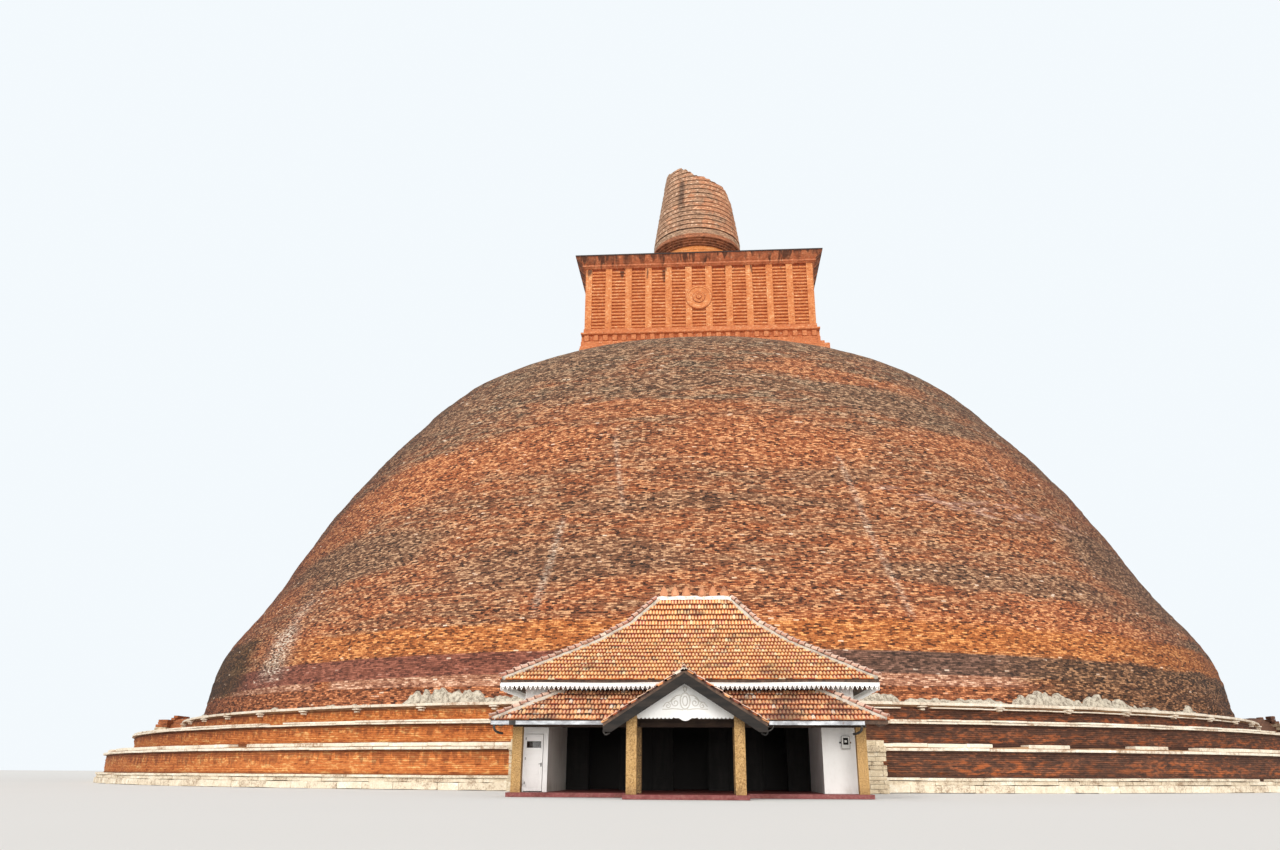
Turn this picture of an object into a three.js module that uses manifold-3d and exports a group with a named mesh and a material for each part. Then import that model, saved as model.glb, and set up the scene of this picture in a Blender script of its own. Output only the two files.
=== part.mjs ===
// A great brick stupa with three circular terraces, four frontispieces, a square
// tower and a broken spire, and the tiled shrine that stands against its front.
// It is a 1:10 model. Every size below is a real size in metres, and MM turns a
// real metre into the model's millimetres. +Z is up, the origin lies on the
// ground at the dome's axis, and the shrine faces -Y.

import * as THREE from 'three';
import { mergeVertices } from 'three/addons/utils/BufferGeometryUtils.js';
import Module from 'manifold-3d';

const wasm = await Module();
wasm.setup();

const MM = 100;
const GAP = 0.003;
const FACETS = 64;

// Terraces, footing and dome
const FOOTING = { radius: 53.96, top: 0.70 };
const TERRACE_1 = { wall: 53.35, coping: 53.56, upper: 53.26, copingFoot: 1.92, step: 2.08, top: 2.30 };
const TERRACE_2 = { wall: 51.60, coping: 51.82, copingFoot: 3.26, top: 3.51 };
const TERRACE_3 = { wall: 48.15, coping: 48.35, copingFoot: 4.37, top: 4.61 };
const DOME_OUTLINE = [
  [47.05, 4.37], [46.80, 6.2], [45.85, 10.0], [42.70, 14.9], [39.95, 19.9],
  [36.91, 24.9], [33.09, 30.0], [28.34, 35.3], [23.62, 38.1], [17.90, 40.5],
];
const DOME_CROWN = { radius: 10.4, z: 42.0 };
const DOME_STEPS = 16;

// Square tower
const TOWER = { half: 11.75, foot: 44.6, top: 51.7 };
const TOWER_X = 0.42;
const TOWER_BASE = { foot: 39.9, sill: 41.95, step: 42.4, band: 43.25, fillet: 44.0 };
const TOWER_BASE_HALF = { sill: 13.15, step: 12.7, plain: 12.35, band: 12.25, fillet: 12.12 };
const LOST_STEPS_LEFT = 12.4; // the left side's lower steps have fallen away beyond this
const PILASTERS = { count: 12, width: 0.70, proud: 0.30, backing: 0.10, outer: 12.05 };
const SUN_DISC = { z: 48.0, radius: 1.36, thick: 0.44, bossRadius: 0.55, bossThick: 0.50, facets: 16 };
const CORNICE = { foot: 12.1, fillet: 12.38, half: 13.07, filletTop: 52.1, lip: 52.72, top: 52.9 };

// Drum and spire
const SPIRE_X = 0.25;
const DRUM = { radius: 4.4, top: 58.7 };
const CORBELS = { courses: 4, radius: 5.38, top: 59.5 };
const SPIRE = { foot: 59.5, band: 60.6, radius: 5.22, taper: 0.157, ring: 0.66, groove: 0.09, top: 73.0 };
const SPIRE_FACETS = 24;
const BROKEN_TOP = [
  [7, 65.9], [4.2, 66.8], [4.0, 67.6], [3.3, 68.2], [1.4, 68.35], [0.8, 68.5],
  [0.3, 68.8], [-0.6, 69.55], [-1.3, 70.1], [-1.8, 70.4], [-3.2, 70.6], [-7, 70.6],
];

// Frontispieces, drawn as the one that faces -Y
const FRONTISPIECE = { half: 6.4, back: 50.7, front: 53.6, top: 6.15 };
const STONE_BASE = { half: 9.0, foot: 55.0, dado: 54.7, cap: 54.9, footTop: 0.6, capFoot: 1.75, top: 2.2 };
const STONE_FACE = { half: 6.9, plain: 53.85, course: 54.10, ledge: 54.4, ledgeTop: 2.6 };
const STONE_COURSES = [[4.4, 4.75], [5.0, 5.3]];

// Shrine: plan lines, from the porch back to the stupa
const PORCH_LINE = -67.7;
const COLUMN_LINE = -65.2;
const ROOM_LINE = -64.2;
const HALL_LINE = -59.1;
const BACK_LINE = -55.003;
const SHRINE_X = -0.12;
const PORCH_X = -0.13;
const SIDES = { left: SHRINE_X - 6.33, right: SHRINE_X + 6.33 };
const FLOOR = 0.15;
const WALL_TOP = 4.51;
const SIDE_TOP = { left: 4.51, right: 4.573 };
const PLINTH = { half: 6.65, overhang: 0.45, porchHalf: 2.15 };
const WALL = { side: 0.20, back: 0.30, hall: 0.40, front: 0.25, thin: 0.12 };
const ROOM = { storeInner: -5.49, meterInner: 4.93, openingTop: 2.865 };

// Shrine: columns, beams and doors
const COLUMN = { side: 0.36, outerX: 6.35, porchHalf: 1.87, top: 2.45, porchTop: 2.72 };
const BEAM = { width: 0.20, depth: 0.18, plateTop: 3.01, plateEnd: 6.2 };
const HALL_DOOR = { firstWidth: 3.135, width: 3.307, lastWidth: 2.84, pier: 0.531, top: 2.916, frame: 0.10, leaf: 0.787, leafTop: 2.769 };
const LEAF = { thick: 0.06, inset: 0.10 };
const STORE_DOOR = { width: 0.69, thick: 0.05, foot: 0.18, top: 2.222, gap: 0.02, jamb: 0.072, frameDepth: 0.12 };
const STORE_WINDOW = { inset: 0.06, foot: 1.723, top: 1.972, depth: 0.02 };
const METER_BOX = { x: 5.79, z: 1.953, width: 0.24, height: 0.40, depth: 0.15 };

// Shrine: roofs
const EAVES = { x: -0.10, halfX: 7.2, front: -65.0, back: -54.2, z: 4.197 };
const RIDGE = { x: 0.12, half: 1.61, z: 8.164, capTop: 8.282, capHalf: 0.12 };
const ROOF_BENDS = [{ share: 0.4425, z: 5.953 }, { share: 0.2213, z: 6.839 }];
const ROOF_DEPTH = 0.14;
const FASCIA = { foot: 3.804, thick: 0.06 };
const FINIALS = { x: [-1.345, -0.845, -0.344, 0.354, 0.854, 1.345], half: 0.2, height: 0.51, thick: 0.1 };
const VERANDAH_ROOF = { halfX: 7.22, front: -66.2, eaveZ: 2.66, topZ: 3.864, hipX: 4.935, depth: 0.14 };
const PORCH_ROOF = { front: -68.4, back: -65.06, ridgeZ: 4.22, eaveZ: 2.44, half: 2.81, depth: 0.10 };
const BARGEBOARD = { depth: 0.36, thick: 0.07 };
const GABLE_BOARD = { foot: 2.62, thick: 0.05 };
const GUTTER = { size: 0.13, wall: 0.015, leftX: [-7.3, -3.02], rightX: [2.86, 6.25], top: 2.62 };

// Materials

function finish(color, roughness = 0.9, metalness = 0) {
  return new THREE.MeshStandardMaterial({ color, roughness, metalness });
}

const brick = finish(0xa4552c);
const domeBrick = finish(0x7d5038);
const towerBrick = finish(0xc4622a);
const spireBrick = finish(0xb27a52);
const stone = finish(0xd6c6a6);
const plaster = finish(0xe9e6df, 0.85);
const ochre = finish(0xb98f4e, 0.8);
const redPaint = finish(0x8a3a35, 0.6);
const tile = finish(0xc87a44);
const darkTimber = finish(0x4a4038, 0.8);
const blackDoor = finish(0x262220, 0.6);
const whitePaint = finish(0xf0efec, 0.5);
const zinc = finish(0xb4b8bc, 0.45, 0.8);

// Solids

const stupa = new THREE.Group();

function solid(geometry) {
  const bare = geometry.index ? geometry.toNonIndexed() : geometry;
  bare.deleteAttribute('normal');
  bare.deleteAttribute('uv');
  const merged = mergeVertices(bare, 1e-3);
  const index = Array.from(merged.index.array);
  const corners = [];
  for (let i = 0; i < index.length; i += 3) {
    const [a, b, c] = index.slice(i, i + 3);
    if (a !== b && b !== c && c !== a) corners.push(a, b, c);
  }
  const make = (order) => new wasm.Manifold(new wasm.Mesh({
    numProp: 3,
    vertProperties: Float32Array.from(merged.attributes.position.array),
    triVerts: Uint32Array.from(order),
  }));
  const made = make(corners);
  if (made.volume() > 0) return made;
  const turned = [];
  for (let i = 0; i < corners.length; i += 3) turned.push(corners[i], corners[i + 2], corners[i + 1]);
  return make(turned);
}

function geometryOf(manifold) {
  const mesh = manifold.getMesh();
  const geometry = new THREE.BufferGeometry();
  geometry.setAttribute('position', new THREE.BufferAttribute(Float32Array.from(mesh.vertProperties), 3));
  geometry.setIndex(Array.from(mesh.triVerts));
  geometry.computeVertexNormals();
  return geometry;
}

function add(name, manifold, material, parent = stupa) {
  const mesh = new THREE.Mesh(geometryOf(manifold), material);
  mesh.name = name;
  parent.add(mesh);
  return mesh;
}

function outlineShape(points) {
  return new THREE.Shape(points.map(([u, v]) => new THREE.Vector2(u * MM, v * MM)));
}

// A flat outline in X and Y, raised from z0 to z1
function upright(points, z0, z1) {
  const geometry = new THREE.ExtrudeGeometry(outlineShape(points), { depth: (z1 - z0) * MM, bevelEnabled: false });
  geometry.translate(0, 0, z0 * MM);
  return solid(geometry);
}

// An outline in X and Z, carried from y0 to y1
function alongY(points, y0, y1) {
  const geometry = new THREE.ExtrudeGeometry(outlineShape(points), { depth: (y1 - y0) * MM, bevelEnabled: false });
  geometry.rotateX(Math.PI / 2);
  geometry.translate(0, y1 * MM, 0);
  return solid(geometry);
}

// An outline in Y and Z, carried from x0 to x1
function alongX(points, x0, x1) {
  const geometry = new THREE.ExtrudeGeometry(outlineShape(points), { depth: (x1 - x0) * MM, bevelEnabled: false });
  const [ux, uy, uz] = [[1, 0, 0], [0, 1, 0], [0, 0, 1]].map((v) => new THREE.Vector3(...v));
  geometry.applyMatrix4(new THREE.Matrix4().makeBasis(uy, uz, ux));
  geometry.translate(x0 * MM, 0, 0);
  return solid(geometry);
}

function block(x0, x1, y0, y1, z0, z1) {
  const geometry = new THREE.BoxGeometry((x1 - x0) * MM, (y1 - y0) * MM, (z1 - z0) * MM);
  geometry.translate((x0 + x1) / 2 * MM, (y0 + y1) / 2 * MM, (z0 + z1) / 2 * MM);
  return solid(geometry);
}

// A profile of [radius, z] turned about the Z axis
function turned(profile, facets = FACETS) {
  const points = profile.map(([r, z]) => new THREE.Vector2(r * MM, z * MM));
  const geometry = new THREE.LatheGeometry(points, facets);
  geometry.rotateX(Math.PI / 2);
  return solid(geometry);
}

function disc(radius, z0, z1) {
  return turned([[0, z0], [radius, z0], [radius, z1], [0, z1]]);
}

// A profile of [half width, z] carried round a square plan
function squareTurned(profile) {
  const points = profile.map(([half, z]) => new THREE.Vector2(half * Math.SQRT2 * MM, z * MM));
  const geometry = new THREE.LatheGeometry(points, 4, Math.PI / 4);
  geometry.rotateX(Math.PI / 2);
  return solid(geometry);
}

// A slab between an upper surface, given by its faces, and the same dropped by depth
function slab(points, faces, rim, depth) {
  const upper = points.map(([x, y, z]) => [x * MM, y * MM, z * MM]);
  const lower = points.map(([x, y, z]) => [x * MM, y * MM, (z - depth) * MM]);
  const triangles = [];
  for (const face of faces) {
    for (let i = 1; i < face.length - 1; i += 1) {
      const [a, b, c] = [face[0], face[i], face[i + 1]];
      triangles.push(upper[a], upper[b], upper[c], lower[a], lower[c], lower[b]);
    }
  }
  rim.forEach((a, i) => {
    const b = rim[(i + 1) % rim.length];
    triangles.push(upper[b], upper[a], lower[a], upper[b], lower[a], lower[b]);
  });
  const geometry = new THREE.BufferGeometry();
  geometry.setAttribute('position', new THREE.BufferAttribute(Float32Array.from(triangles.flat()), 3));
  return solid(geometry);
}

function union(parts) {
  return parts.reduce((whole, part) => whole.add(part));
}

// Terraces and dome

function ring(inner, profile) {
  const foot = profile[0][1];
  const top = profile[profile.length - 1][1];
  return turned([[inner, foot], ...profile, [inner, top], [inner, foot]]);
}

function addTerraces() {
  add('footing_ring', ring(TERRACE_1.wall + GAP, [[FOOTING.radius, 0], [FOOTING.radius, FOOTING.top]]), stone);
  add('terrace_1_wall', disc(TERRACE_1.wall, 0, TERRACE_1.copingFoot), brick);
  add('terrace_1_coping', ring(TERRACE_2.wall + GAP, [
    [TERRACE_1.coping, TERRACE_1.copingFoot], [TERRACE_1.coping, TERRACE_1.step],
    [TERRACE_1.upper, TERRACE_1.step], [TERRACE_1.upper, TERRACE_1.top],
  ]), stone);
  add('terrace_2_wall', disc(TERRACE_2.wall, TERRACE_1.copingFoot, TERRACE_2.copingFoot), brick);
  add('terrace_2_coping', ring(TERRACE_3.wall + GAP, [
    [TERRACE_2.coping, TERRACE_2.copingFoot], [TERRACE_2.coping, TERRACE_2.top],
  ]), stone);
  add('terrace_3_wall', disc(TERRACE_3.wall, TERRACE_2.copingFoot, TERRACE_3.copingFoot), brick);
  add('terrace_3_coping', ring(DOME_OUTLINE[0][0] + GAP, [
    [TERRACE_3.coping, TERRACE_3.copingFoot], [TERRACE_3.coping, TERRACE_3.top],
  ]), stone);
}

function domeSolid(swell = 0) {
  const curve = new THREE.SplineCurve(DOME_OUTLINE.map(([r, z]) => new THREE.Vector2(r, z)));
  const flank = curve.getPoints(DOME_STEPS).map((p) => [p.x + swell, p.y + swell]);
  flank[0][1] -= swell;
  const crown = [DOME_CROWN.radius + swell, DOME_CROWN.z + swell];
  return turned([[0, DOME_OUTLINE[0][1]], ...flank, crown, [0, DOME_CROWN.z + swell]]);
}

// Tower

function railingPanel(half) {
  const face = -TOWER.half - GAP;
  const pitch = (2 * PILASTERS.outer - PILASTERS.width) / (PILASTERS.count - 1);
  const plate = block(-half, half, face - PILASTERS.backing, face, TOWER.foot, TOWER.top);
  const pilasters = Array.from({ length: PILASTERS.count }, (_, i) => {
    const middle = (i - (PILASTERS.count - 1) / 2) * pitch;
    const left = Math.max(middle - PILASTERS.width / 2, -half);
    const right = Math.min(middle + PILASTERS.width / 2, half);
    return block(left, right, face - PILASTERS.proud, face, TOWER.foot, TOWER.top);
  });
  return union([plate, ...pilasters, sunDisc().translate(0, face * MM, SUN_DISC.z * MM)]);
}

function sunDisc() {
  const { radius, thick, bossRadius, bossThick, facets } = SUN_DISC;
  const profile = [[0, 0], [radius, 0], [radius, thick], [bossRadius, thick], [bossRadius, bossThick], [0, bossThick]];
  return turned(profile, facets).rotate(90, 0, 0);
}

function addTower() {
  const tower = new THREE.Group();
  tower.position.x = TOWER_X * MM;
  stupa.add(tower);
  const rim = TOWER_BASE_HALF;
  const base = squareTurned([
    [0, TOWER_BASE.foot], [rim.sill, TOWER_BASE.foot], [rim.sill, TOWER_BASE.sill],
    [rim.step, TOWER_BASE.sill], [rim.step, TOWER_BASE.step],
    [rim.plain, TOWER_BASE.step], [rim.plain, TOWER_BASE.band], [rim.band, TOWER_BASE.band],
    [rim.band, TOWER_BASE.fillet], [rim.fillet, TOWER_BASE.fillet], [rim.fillet, TOWER.foot], [0, TOWER.foot],
  ]);
  const left = block(-LOST_STEPS_LEFT, rim.sill + 1, -rim.sill - 1, rim.sill + 1, TOWER_BASE.foot - 1, TOWER.foot + 1);
  const seated = base.intersect(left).subtract(domeSolid(GAP).translate(-TOWER_X * MM, 0, 0));
  add('tower_base', seated, towerBrick, tower);
  const body = block(-TOWER.half, TOWER.half, -TOWER.half, TOWER.half, TOWER.foot + GAP, TOWER.top);
  add('tower_body', body, towerBrick, tower);
  const wide = railingPanel(PILASTERS.outer);
  const narrow = railingPanel(TOWER.half);
  ['front', 'right', 'back', 'left'].forEach((side, i) => {
    const panel = add(`railing_${side}`, i % 2 ? narrow : wide, towerBrick, tower);
    panel.rotation.z = i * Math.PI / 2;
  });
  add('tower_cornice', squareTurned([
    [0, TOWER.top], [CORNICE.foot, TOWER.top], [CORNICE.fillet, TOWER.top + 0.06],
    [CORNICE.fillet, CORNICE.filletTop], [CORNICE.half - 0.06, CORNICE.lip],
    [CORNICE.half, CORNICE.lip], [CORNICE.half, CORNICE.top], [0, CORNICE.top],
  ]), towerBrick, tower);
}

// Spire

function addSpire() {
  const group = new THREE.Group();
  group.position.x = SPIRE_X * MM;
  stupa.add(group);
  const drum = [[0, CORNICE.top], [DRUM.radius, CORNICE.top], [DRUM.radius, DRUM.top], [0, DRUM.top]];
  add('spire_drum', turned(drum, SPIRE_FACETS), towerBrick, group);
  const steps = [];
  const rise = (CORBELS.top - DRUM.top) / CORBELS.courses;
  for (let i = 0; i < CORBELS.courses; i += 1) {
    const radius = DRUM.radius + (CORBELS.radius - DRUM.radius) * (i + 1) / CORBELS.courses;
    steps.push([radius, DRUM.top + rise * i], [radius, DRUM.top + rise * (i + 1)]);
  }
  add('spire_corbels', turned([[0, DRUM.top], ...steps, [0, CORBELS.top]], SPIRE_FACETS), spireBrick, group);

  const radiusAt = (z) => SPIRE.radius - SPIRE.taper * (z - SPIRE.band);
  const profile = [[0, SPIRE.foot], [radiusAt(SPIRE.foot), SPIRE.foot], [radiusAt(SPIRE.band), SPIRE.band]];
  for (let z = SPIRE.band; z < SPIRE.top; z += SPIRE.ring) {
    profile.push([radiusAt(z) - SPIRE.groove, z], [radiusAt(z + SPIRE.ring), z + SPIRE.ring]);
  }
  profile.push([0, profile[profile.length - 1][1]]);
  const torn = BROKEN_TOP.map(([x, z]) => [x - SPIRE_X, z]);
  const broken = alongY([[-7, SPIRE.foot - 1], [7, SPIRE.foot - 1], ...torn], -6, 6);
  add('spire', turned(profile, SPIRE_FACETS).intersect(broken), spireBrick, group);
}

// Frontispieces

function frontispiece() {
  const { half, back, front, top } = FRONTISPIECE;
  const core = block(-half, half, -front, -back, 0, top);
  const base = alongX([
    [-back, 0], [-STONE_BASE.foot, 0], [-STONE_BASE.foot, STONE_BASE.footTop],
    [-STONE_BASE.dado, STONE_BASE.footTop], [-STONE_BASE.dado, STONE_BASE.capFoot],
    [-STONE_BASE.cap, STONE_BASE.capFoot], [-STONE_BASE.cap, STONE_BASE.top], [-back, STONE_BASE.top],
  ], -STONE_BASE.half, STONE_BASE.half);
  const outline = [[-front + 0.5, STONE_BASE.top], [-STONE_FACE.ledge, STONE_BASE.top],
    [-STONE_FACE.ledge, STONE_FACE.ledgeTop], [-STONE_FACE.plain, STONE_FACE.ledgeTop]];
  for (const [foot, head] of STONE_COURSES) {
    outline.push([-STONE_FACE.plain, foot], [-STONE_FACE.course, foot]);
    outline.push([-STONE_FACE.course, head], [-STONE_FACE.plain, head]);
  }
  const last = STONE_COURSES[STONE_COURSES.length - 1][1];
  outline.push([-STONE_FACE.plain, last + 0.25], [-front + 0.5, last + 0.25]);
  const face = alongX(outline, -STONE_FACE.half, STONE_FACE.half);
  const terraces = [
    disc(FOOTING.radius + GAP, -1, FOOTING.top + GAP),
    disc(TERRACE_1.wall + GAP, 0, TERRACE_1.copingFoot),
    disc(TERRACE_1.coping + GAP, TERRACE_1.copingFoot - GAP, TERRACE_1.step + GAP),
    disc(TERRACE_1.upper + GAP, TERRACE_1.step, TERRACE_1.top + GAP),
    disc(TERRACE_2.wall + GAP, TERRACE_1.top, TERRACE_2.copingFoot),
    disc(TERRACE_2.coping + GAP, TERRACE_2.copingFoot - GAP, TERRACE_2.top + GAP),
  ];
  return terraces.reduce((rest, terrace) => rest.subtract(terrace), union([core, base, face]));
}

function addFrontispieces() {
  const shape = frontispiece();
  ['front', 'right', 'back', 'left'].forEach((side, i) => {
    add(`frontispiece_${side}`, shape, stone).rotation.z = i * Math.PI / 2;
  });
}

// Shrine: plinth and walls

function addWalls() {
  const porch = [PORCH_X - PLINTH.porchHalf, PORCH_X + PLINTH.porchHalf];
  const ends = [SHRINE_X - PLINTH.half, SHRINE_X + PLINTH.half];
  const porchFront = PORCH_LINE - PLINTH.overhang;
  const front = COLUMN_LINE - PLINTH.overhang;
  add('shrine_plinth', upright([
    [ends[0], front], [porch[0], front], [porch[0], porchFront], [porch[1], porchFront],
    [porch[1], front], [ends[1], front], [ends[1], BACK_LINE], [ends[0], BACK_LINE],
  ], 0, FLOOR), redPaint);

  const frontBack = ROOM_LINE + STORE_DOOR.frameDepth;
  const backFace = BACK_LINE - WALL.back;
  const inner = [SIDES.left + WALL.side, SIDES.right - WALL.side];
  add('shrine_back_wall', block(SIDES.left, SIDES.right, backFace, BACK_LINE, FLOOR, WALL_TOP), plaster);
  const under = ROOM.openingTop;
  const sideWall = (top) => [[frontBack, FLOOR], [backFace, FLOOR], [backFace, top],
    [ROOM_LINE + WALL.front, top], [ROOM_LINE + WALL.front, under], [frontBack, under]];
  add('shrine_left_wall', alongX(sideWall(SIDE_TOP.left), SIDES.left, inner[0]), plaster);
  add('shrine_right_wall', alongX(sideWall(SIDE_TOP.right), inner[1], SIDES.right), plaster);

  const outline = [[inner[0], SIDE_TOP.left], [inner[0], FLOOR]];
  for (const [left, right] of hallDoorways()) {
    outline.push([left, FLOOR], [left, HALL_DOOR.top], [right, HALL_DOOR.top], [right, FLOOR]);
  }
  outline.push([inner[1], FLOOR], [inner[1], SIDE_TOP.right]);
  add('hall_wall', alongY(outline, HALL_LINE, HALL_LINE + WALL.hall), plaster);
}

function hallDoorways() {
  const half = HALL_DOOR.width / 2;
  const first = PORCH_X - half - HALL_DOOR.pier;
  const last = PORCH_X + half + HALL_DOOR.pier;
  return [[first - HALL_DOOR.firstWidth, first], [PORCH_X - half, PORCH_X + half], [last, last + HALL_DOOR.lastWidth]];
}

// Each doorway has two leaves that stand shut at its sides, and two that stand open behind them
function addHallDoors() {
  const y0 = HALL_LINE + LEAF.inset;
  ['left', 'middle', 'right'].forEach((side, i) => {
    const [left, right] = hallDoorways()[i].map((x, k) => x + (k ? -GAP : GAP));
    const { frame, leaf, leafTop } = HALL_DOOR;
    const head = block(left, right, y0, y0 + frame, leafTop, HALL_DOOR.top - GAP);
    const standing = [[left, 1], [right, -1]].flatMap(([x, way]) => {
      const across = (from, to, ya, yb) => {
        const ends = [x + way * from, x + way * to].sort((a, b) => a - b);
        return block(ends[0], ends[1], ya, yb, FLOOR, leafTop + 0.01);
      };
      return [
        across(0, frame, y0, y0 + frame),
        across(0, frame + leaf, y0, y0 + LEAF.thick),
        across(frame + leaf - LEAF.thick, frame + leaf, y0, y0 + leaf),
      ];
    });
    add(`hall_doors_${side}`, union([head, ...standing]), blackDoor);
  });
}

function addRooms() {
  const frontBack = ROOM_LINE + STORE_DOOR.frameDepth;
  add('store_side_wall', block(ROOM.storeInner - WALL.thin, ROOM.storeInner, frontBack, HALL_LINE,
    FLOOR, ROOM.openingTop), plaster);
  add('meter_room_wall', upright([
    [ROOM.meterInner, ROOM_LINE], [SIDES.right, ROOM_LINE], [SIDES.right, frontBack - GAP],
    [ROOM.meterInner + WALL.thin, frontBack - GAP], [ROOM.meterInner + WALL.thin, HALL_LINE - GAP],
    [ROOM.meterInner, HALL_LINE - GAP],
  ], FLOOR, ROOM.openingTop - GAP), plaster);
  const storeTop = STORE_DOOR.top + STORE_DOOR.jamb + STORE_DOOR.gap;
  add('front_upper_wall', alongY([
    [SIDES.left, storeTop + GAP], [ROOM.storeInner, storeTop + GAP], [ROOM.storeInner, ROOM.openingTop],
    [SIDES.right, ROOM.openingTop], [SIDES.right, WALL_TOP], [SIDES.left, WALL_TOP],
  ], ROOM_LINE, ROOM_LINE + WALL.front).subtract(
    block(SIDES.left - 1, ROOM.storeInner + 1, frontBack - GAP, HALL_LINE, 0, ROOM.openingTop + GAP),
  ), plaster);

  const hingeX = SIDES.left + STORE_DOOR.jamb;
  const doorRight = hingeX + STORE_DOOR.width;
  const outer = [[SIDES.left, FLOOR], [hingeX - GAP, FLOOR], [hingeX - GAP, STORE_DOOR.top + STORE_DOOR.gap],
    [doorRight + STORE_DOOR.gap, STORE_DOOR.top + STORE_DOOR.gap], [doorRight + STORE_DOOR.gap, FLOOR],
    [ROOM.storeInner, FLOOR], [ROOM.storeInner, storeTop], [SIDES.left, storeTop]];
  add('store_door_frame', alongY(outer, ROOM_LINE, frontBack - GAP), whitePaint);
  const leaf = block(hingeX, doorRight, ROOM_LINE, ROOM_LINE + STORE_DOOR.thick, STORE_DOOR.foot, STORE_DOOR.top);
  const pane = block(hingeX + STORE_WINDOW.inset, doorRight - STORE_WINDOW.inset, ROOM_LINE - 1,
    ROOM_LINE + STORE_WINDOW.depth, STORE_WINDOW.foot, STORE_WINDOW.top);
  add('store_door', leaf.subtract(pane), whitePaint);
  add('meter_box', block(METER_BOX.x - METER_BOX.width / 2, METER_BOX.x + METER_BOX.width / 2,
    ROOM_LINE - METER_BOX.depth, ROOM_LINE, METER_BOX.z - METER_BOX.height / 2,
    METER_BOX.z + METER_BOX.height / 2), whitePaint);
}

// Shrine: columns and beams

function addColumns() {
  const half = COLUMN.side / 2;
  const short = block(-half, half, -half, half, FLOOR, COLUMN.top);
  const tall = block(-half, half, -half, half, FLOOR, COLUMN.porchTop);
  const places = {
    column_outer_left: [short, SHRINE_X - COLUMN.outerX, COLUMN_LINE],
    column_inner_left: [short, PORCH_X - COLUMN.porchHalf, COLUMN_LINE],
    column_inner_right: [short, PORCH_X + COLUMN.porchHalf, COLUMN_LINE],
    column_outer_right: [short, SHRINE_X + COLUMN.outerX, COLUMN_LINE],
    column_porch_left: [tall, PORCH_X - COLUMN.porchHalf, PORCH_LINE],
    column_porch_right: [tall, PORCH_X + COLUMN.porchHalf, PORCH_LINE],
  };
  for (const [name, [shape, x, y]] of Object.entries(places)) {
    add(name, shape, ochre).position.set(x * MM, y * MM, 0);
  }
  const arm = BEAM.width / 2;
  const foot = COLUMN_LINE - half;
  const porchBack = PORCH_LINE + half + GAP;
  const [left, right] = [PORCH_X - COLUMN.porchHalf, PORCH_X + COLUMN.porchHalf];
  const ends = [SHRINE_X - COLUMN.outerX - half, SHRINE_X + COLUMN.outerX + half];
  const plate = block(SHRINE_X - BEAM.plateEnd, SHRINE_X + BEAM.plateEnd, foot, COLUMN_LINE + half,
    COLUMN.top, BEAM.plateTop);
  add('verandah_beam', upright([
    [ends[0], foot], [left - arm, foot], [left - arm, porchBack], [left + arm, porchBack],
    [left + arm, foot], [right - arm, foot], [right - arm, porchBack], [right + arm, porchBack],
    [right + arm, foot], [ends[1], foot], [ends[1], COLUMN_LINE + half],
    [ends[0], COLUMN_LINE + half],
  ], COLUMN.top, COLUMN.top + BEAM.depth).add(plate), darkTimber);
}

// Shrine: roofs

function addMainRoof() {
  const middle = (EAVES.front + EAVES.back) / 2;
  const corner = (sx, sy) => [EAVES.x + sx * EAVES.halfX, sy < 0 ? EAVES.front : EAVES.back, EAVES.z];
  const ridge = (sx) => [RIDGE.x + sx * RIDGE.half, middle, RIDGE.z];
  const bends = (sx, sy) => ROOF_BENDS.map(({ share, z }) => {
    const [from, to] = [ridge(sx), corner(sx, sy)];
    return [from[0] + (to[0] - from[0]) * share, from[1] + (to[1] - from[1]) * share, z];
  });
  const slope = (a, b, tops) => {
    const rise = [corner(...b), ...bends(...b)];
    const fall = [corner(...a), ...bends(...a)];
    const points = [...rise, ...tops, ...fall.slice().reverse()];
    const last = points.length - 1;
    const faces = rise.slice(1).map((_, i) => [last - i, i, i + 1, last - i - 1]);
    const crown = Array.from({ length: tops.length + 2 }, (_, i) => rise.length - 1 + i);
    return slab(points, [...faces, crown], points.map((_, i) => i), ROOF_DEPTH);
  };
  add('roof_front_slope', slope([-1, -1], [1, -1], [ridge(1), ridge(-1)]), tile);
  add('roof_back_slope', slope([-1, 1], [1, 1], [ridge(1), ridge(-1)]), tile);
  add('roof_left_slope', slope([-1, -1], [-1, 1], [ridge(-1)]), tile);
  add('roof_right_slope', slope([1, -1], [1, 1], [ridge(1)]), tile);

  const board = (inset) => {
    const [left, right] = [-1, 1].map((way) => EAVES.x + way * (EAVES.halfX - inset));
    return [[left, EAVES.front + inset], [right, EAVES.front + inset],
      [right, EAVES.back - inset], [left, EAVES.back - inset]];
  };
  const foot = EAVES.z - ROOF_DEPTH;
  add('eaves_fascia', upright(board(0), FASCIA.foot, foot).subtract(
    upright(board(FASCIA.thick), FASCIA.foot - 1, foot + 1),
  ), whitePaint);

  const cap = block(RIDGE.x - RIDGE.half, RIDGE.x + RIDGE.half, middle - RIDGE.capHalf, middle + RIDGE.capHalf,
    RIDGE.z + GAP, RIDGE.capTop);
  const leafShape = [[-1, 0], [1, 0], [0.95, 0.3], [0.55, 0.55], [0.3, 0.8], [0, 1.05],
    [-0.3, 0.8], [-0.55, 0.55], [-0.95, 0.3]];
  const finials = FINIALS.x.map((x) => alongY(
    leafShape.map(([u, v]) => [RIDGE.x + x + u * FINIALS.half, RIDGE.capTop - 0.02 + v * FINIALS.height]),
    middle - FINIALS.thick / 2, middle + FINIALS.thick / 2,
  ));
  add('ridge_and_finials', union([cap, ...finials]), tile);
}

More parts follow.
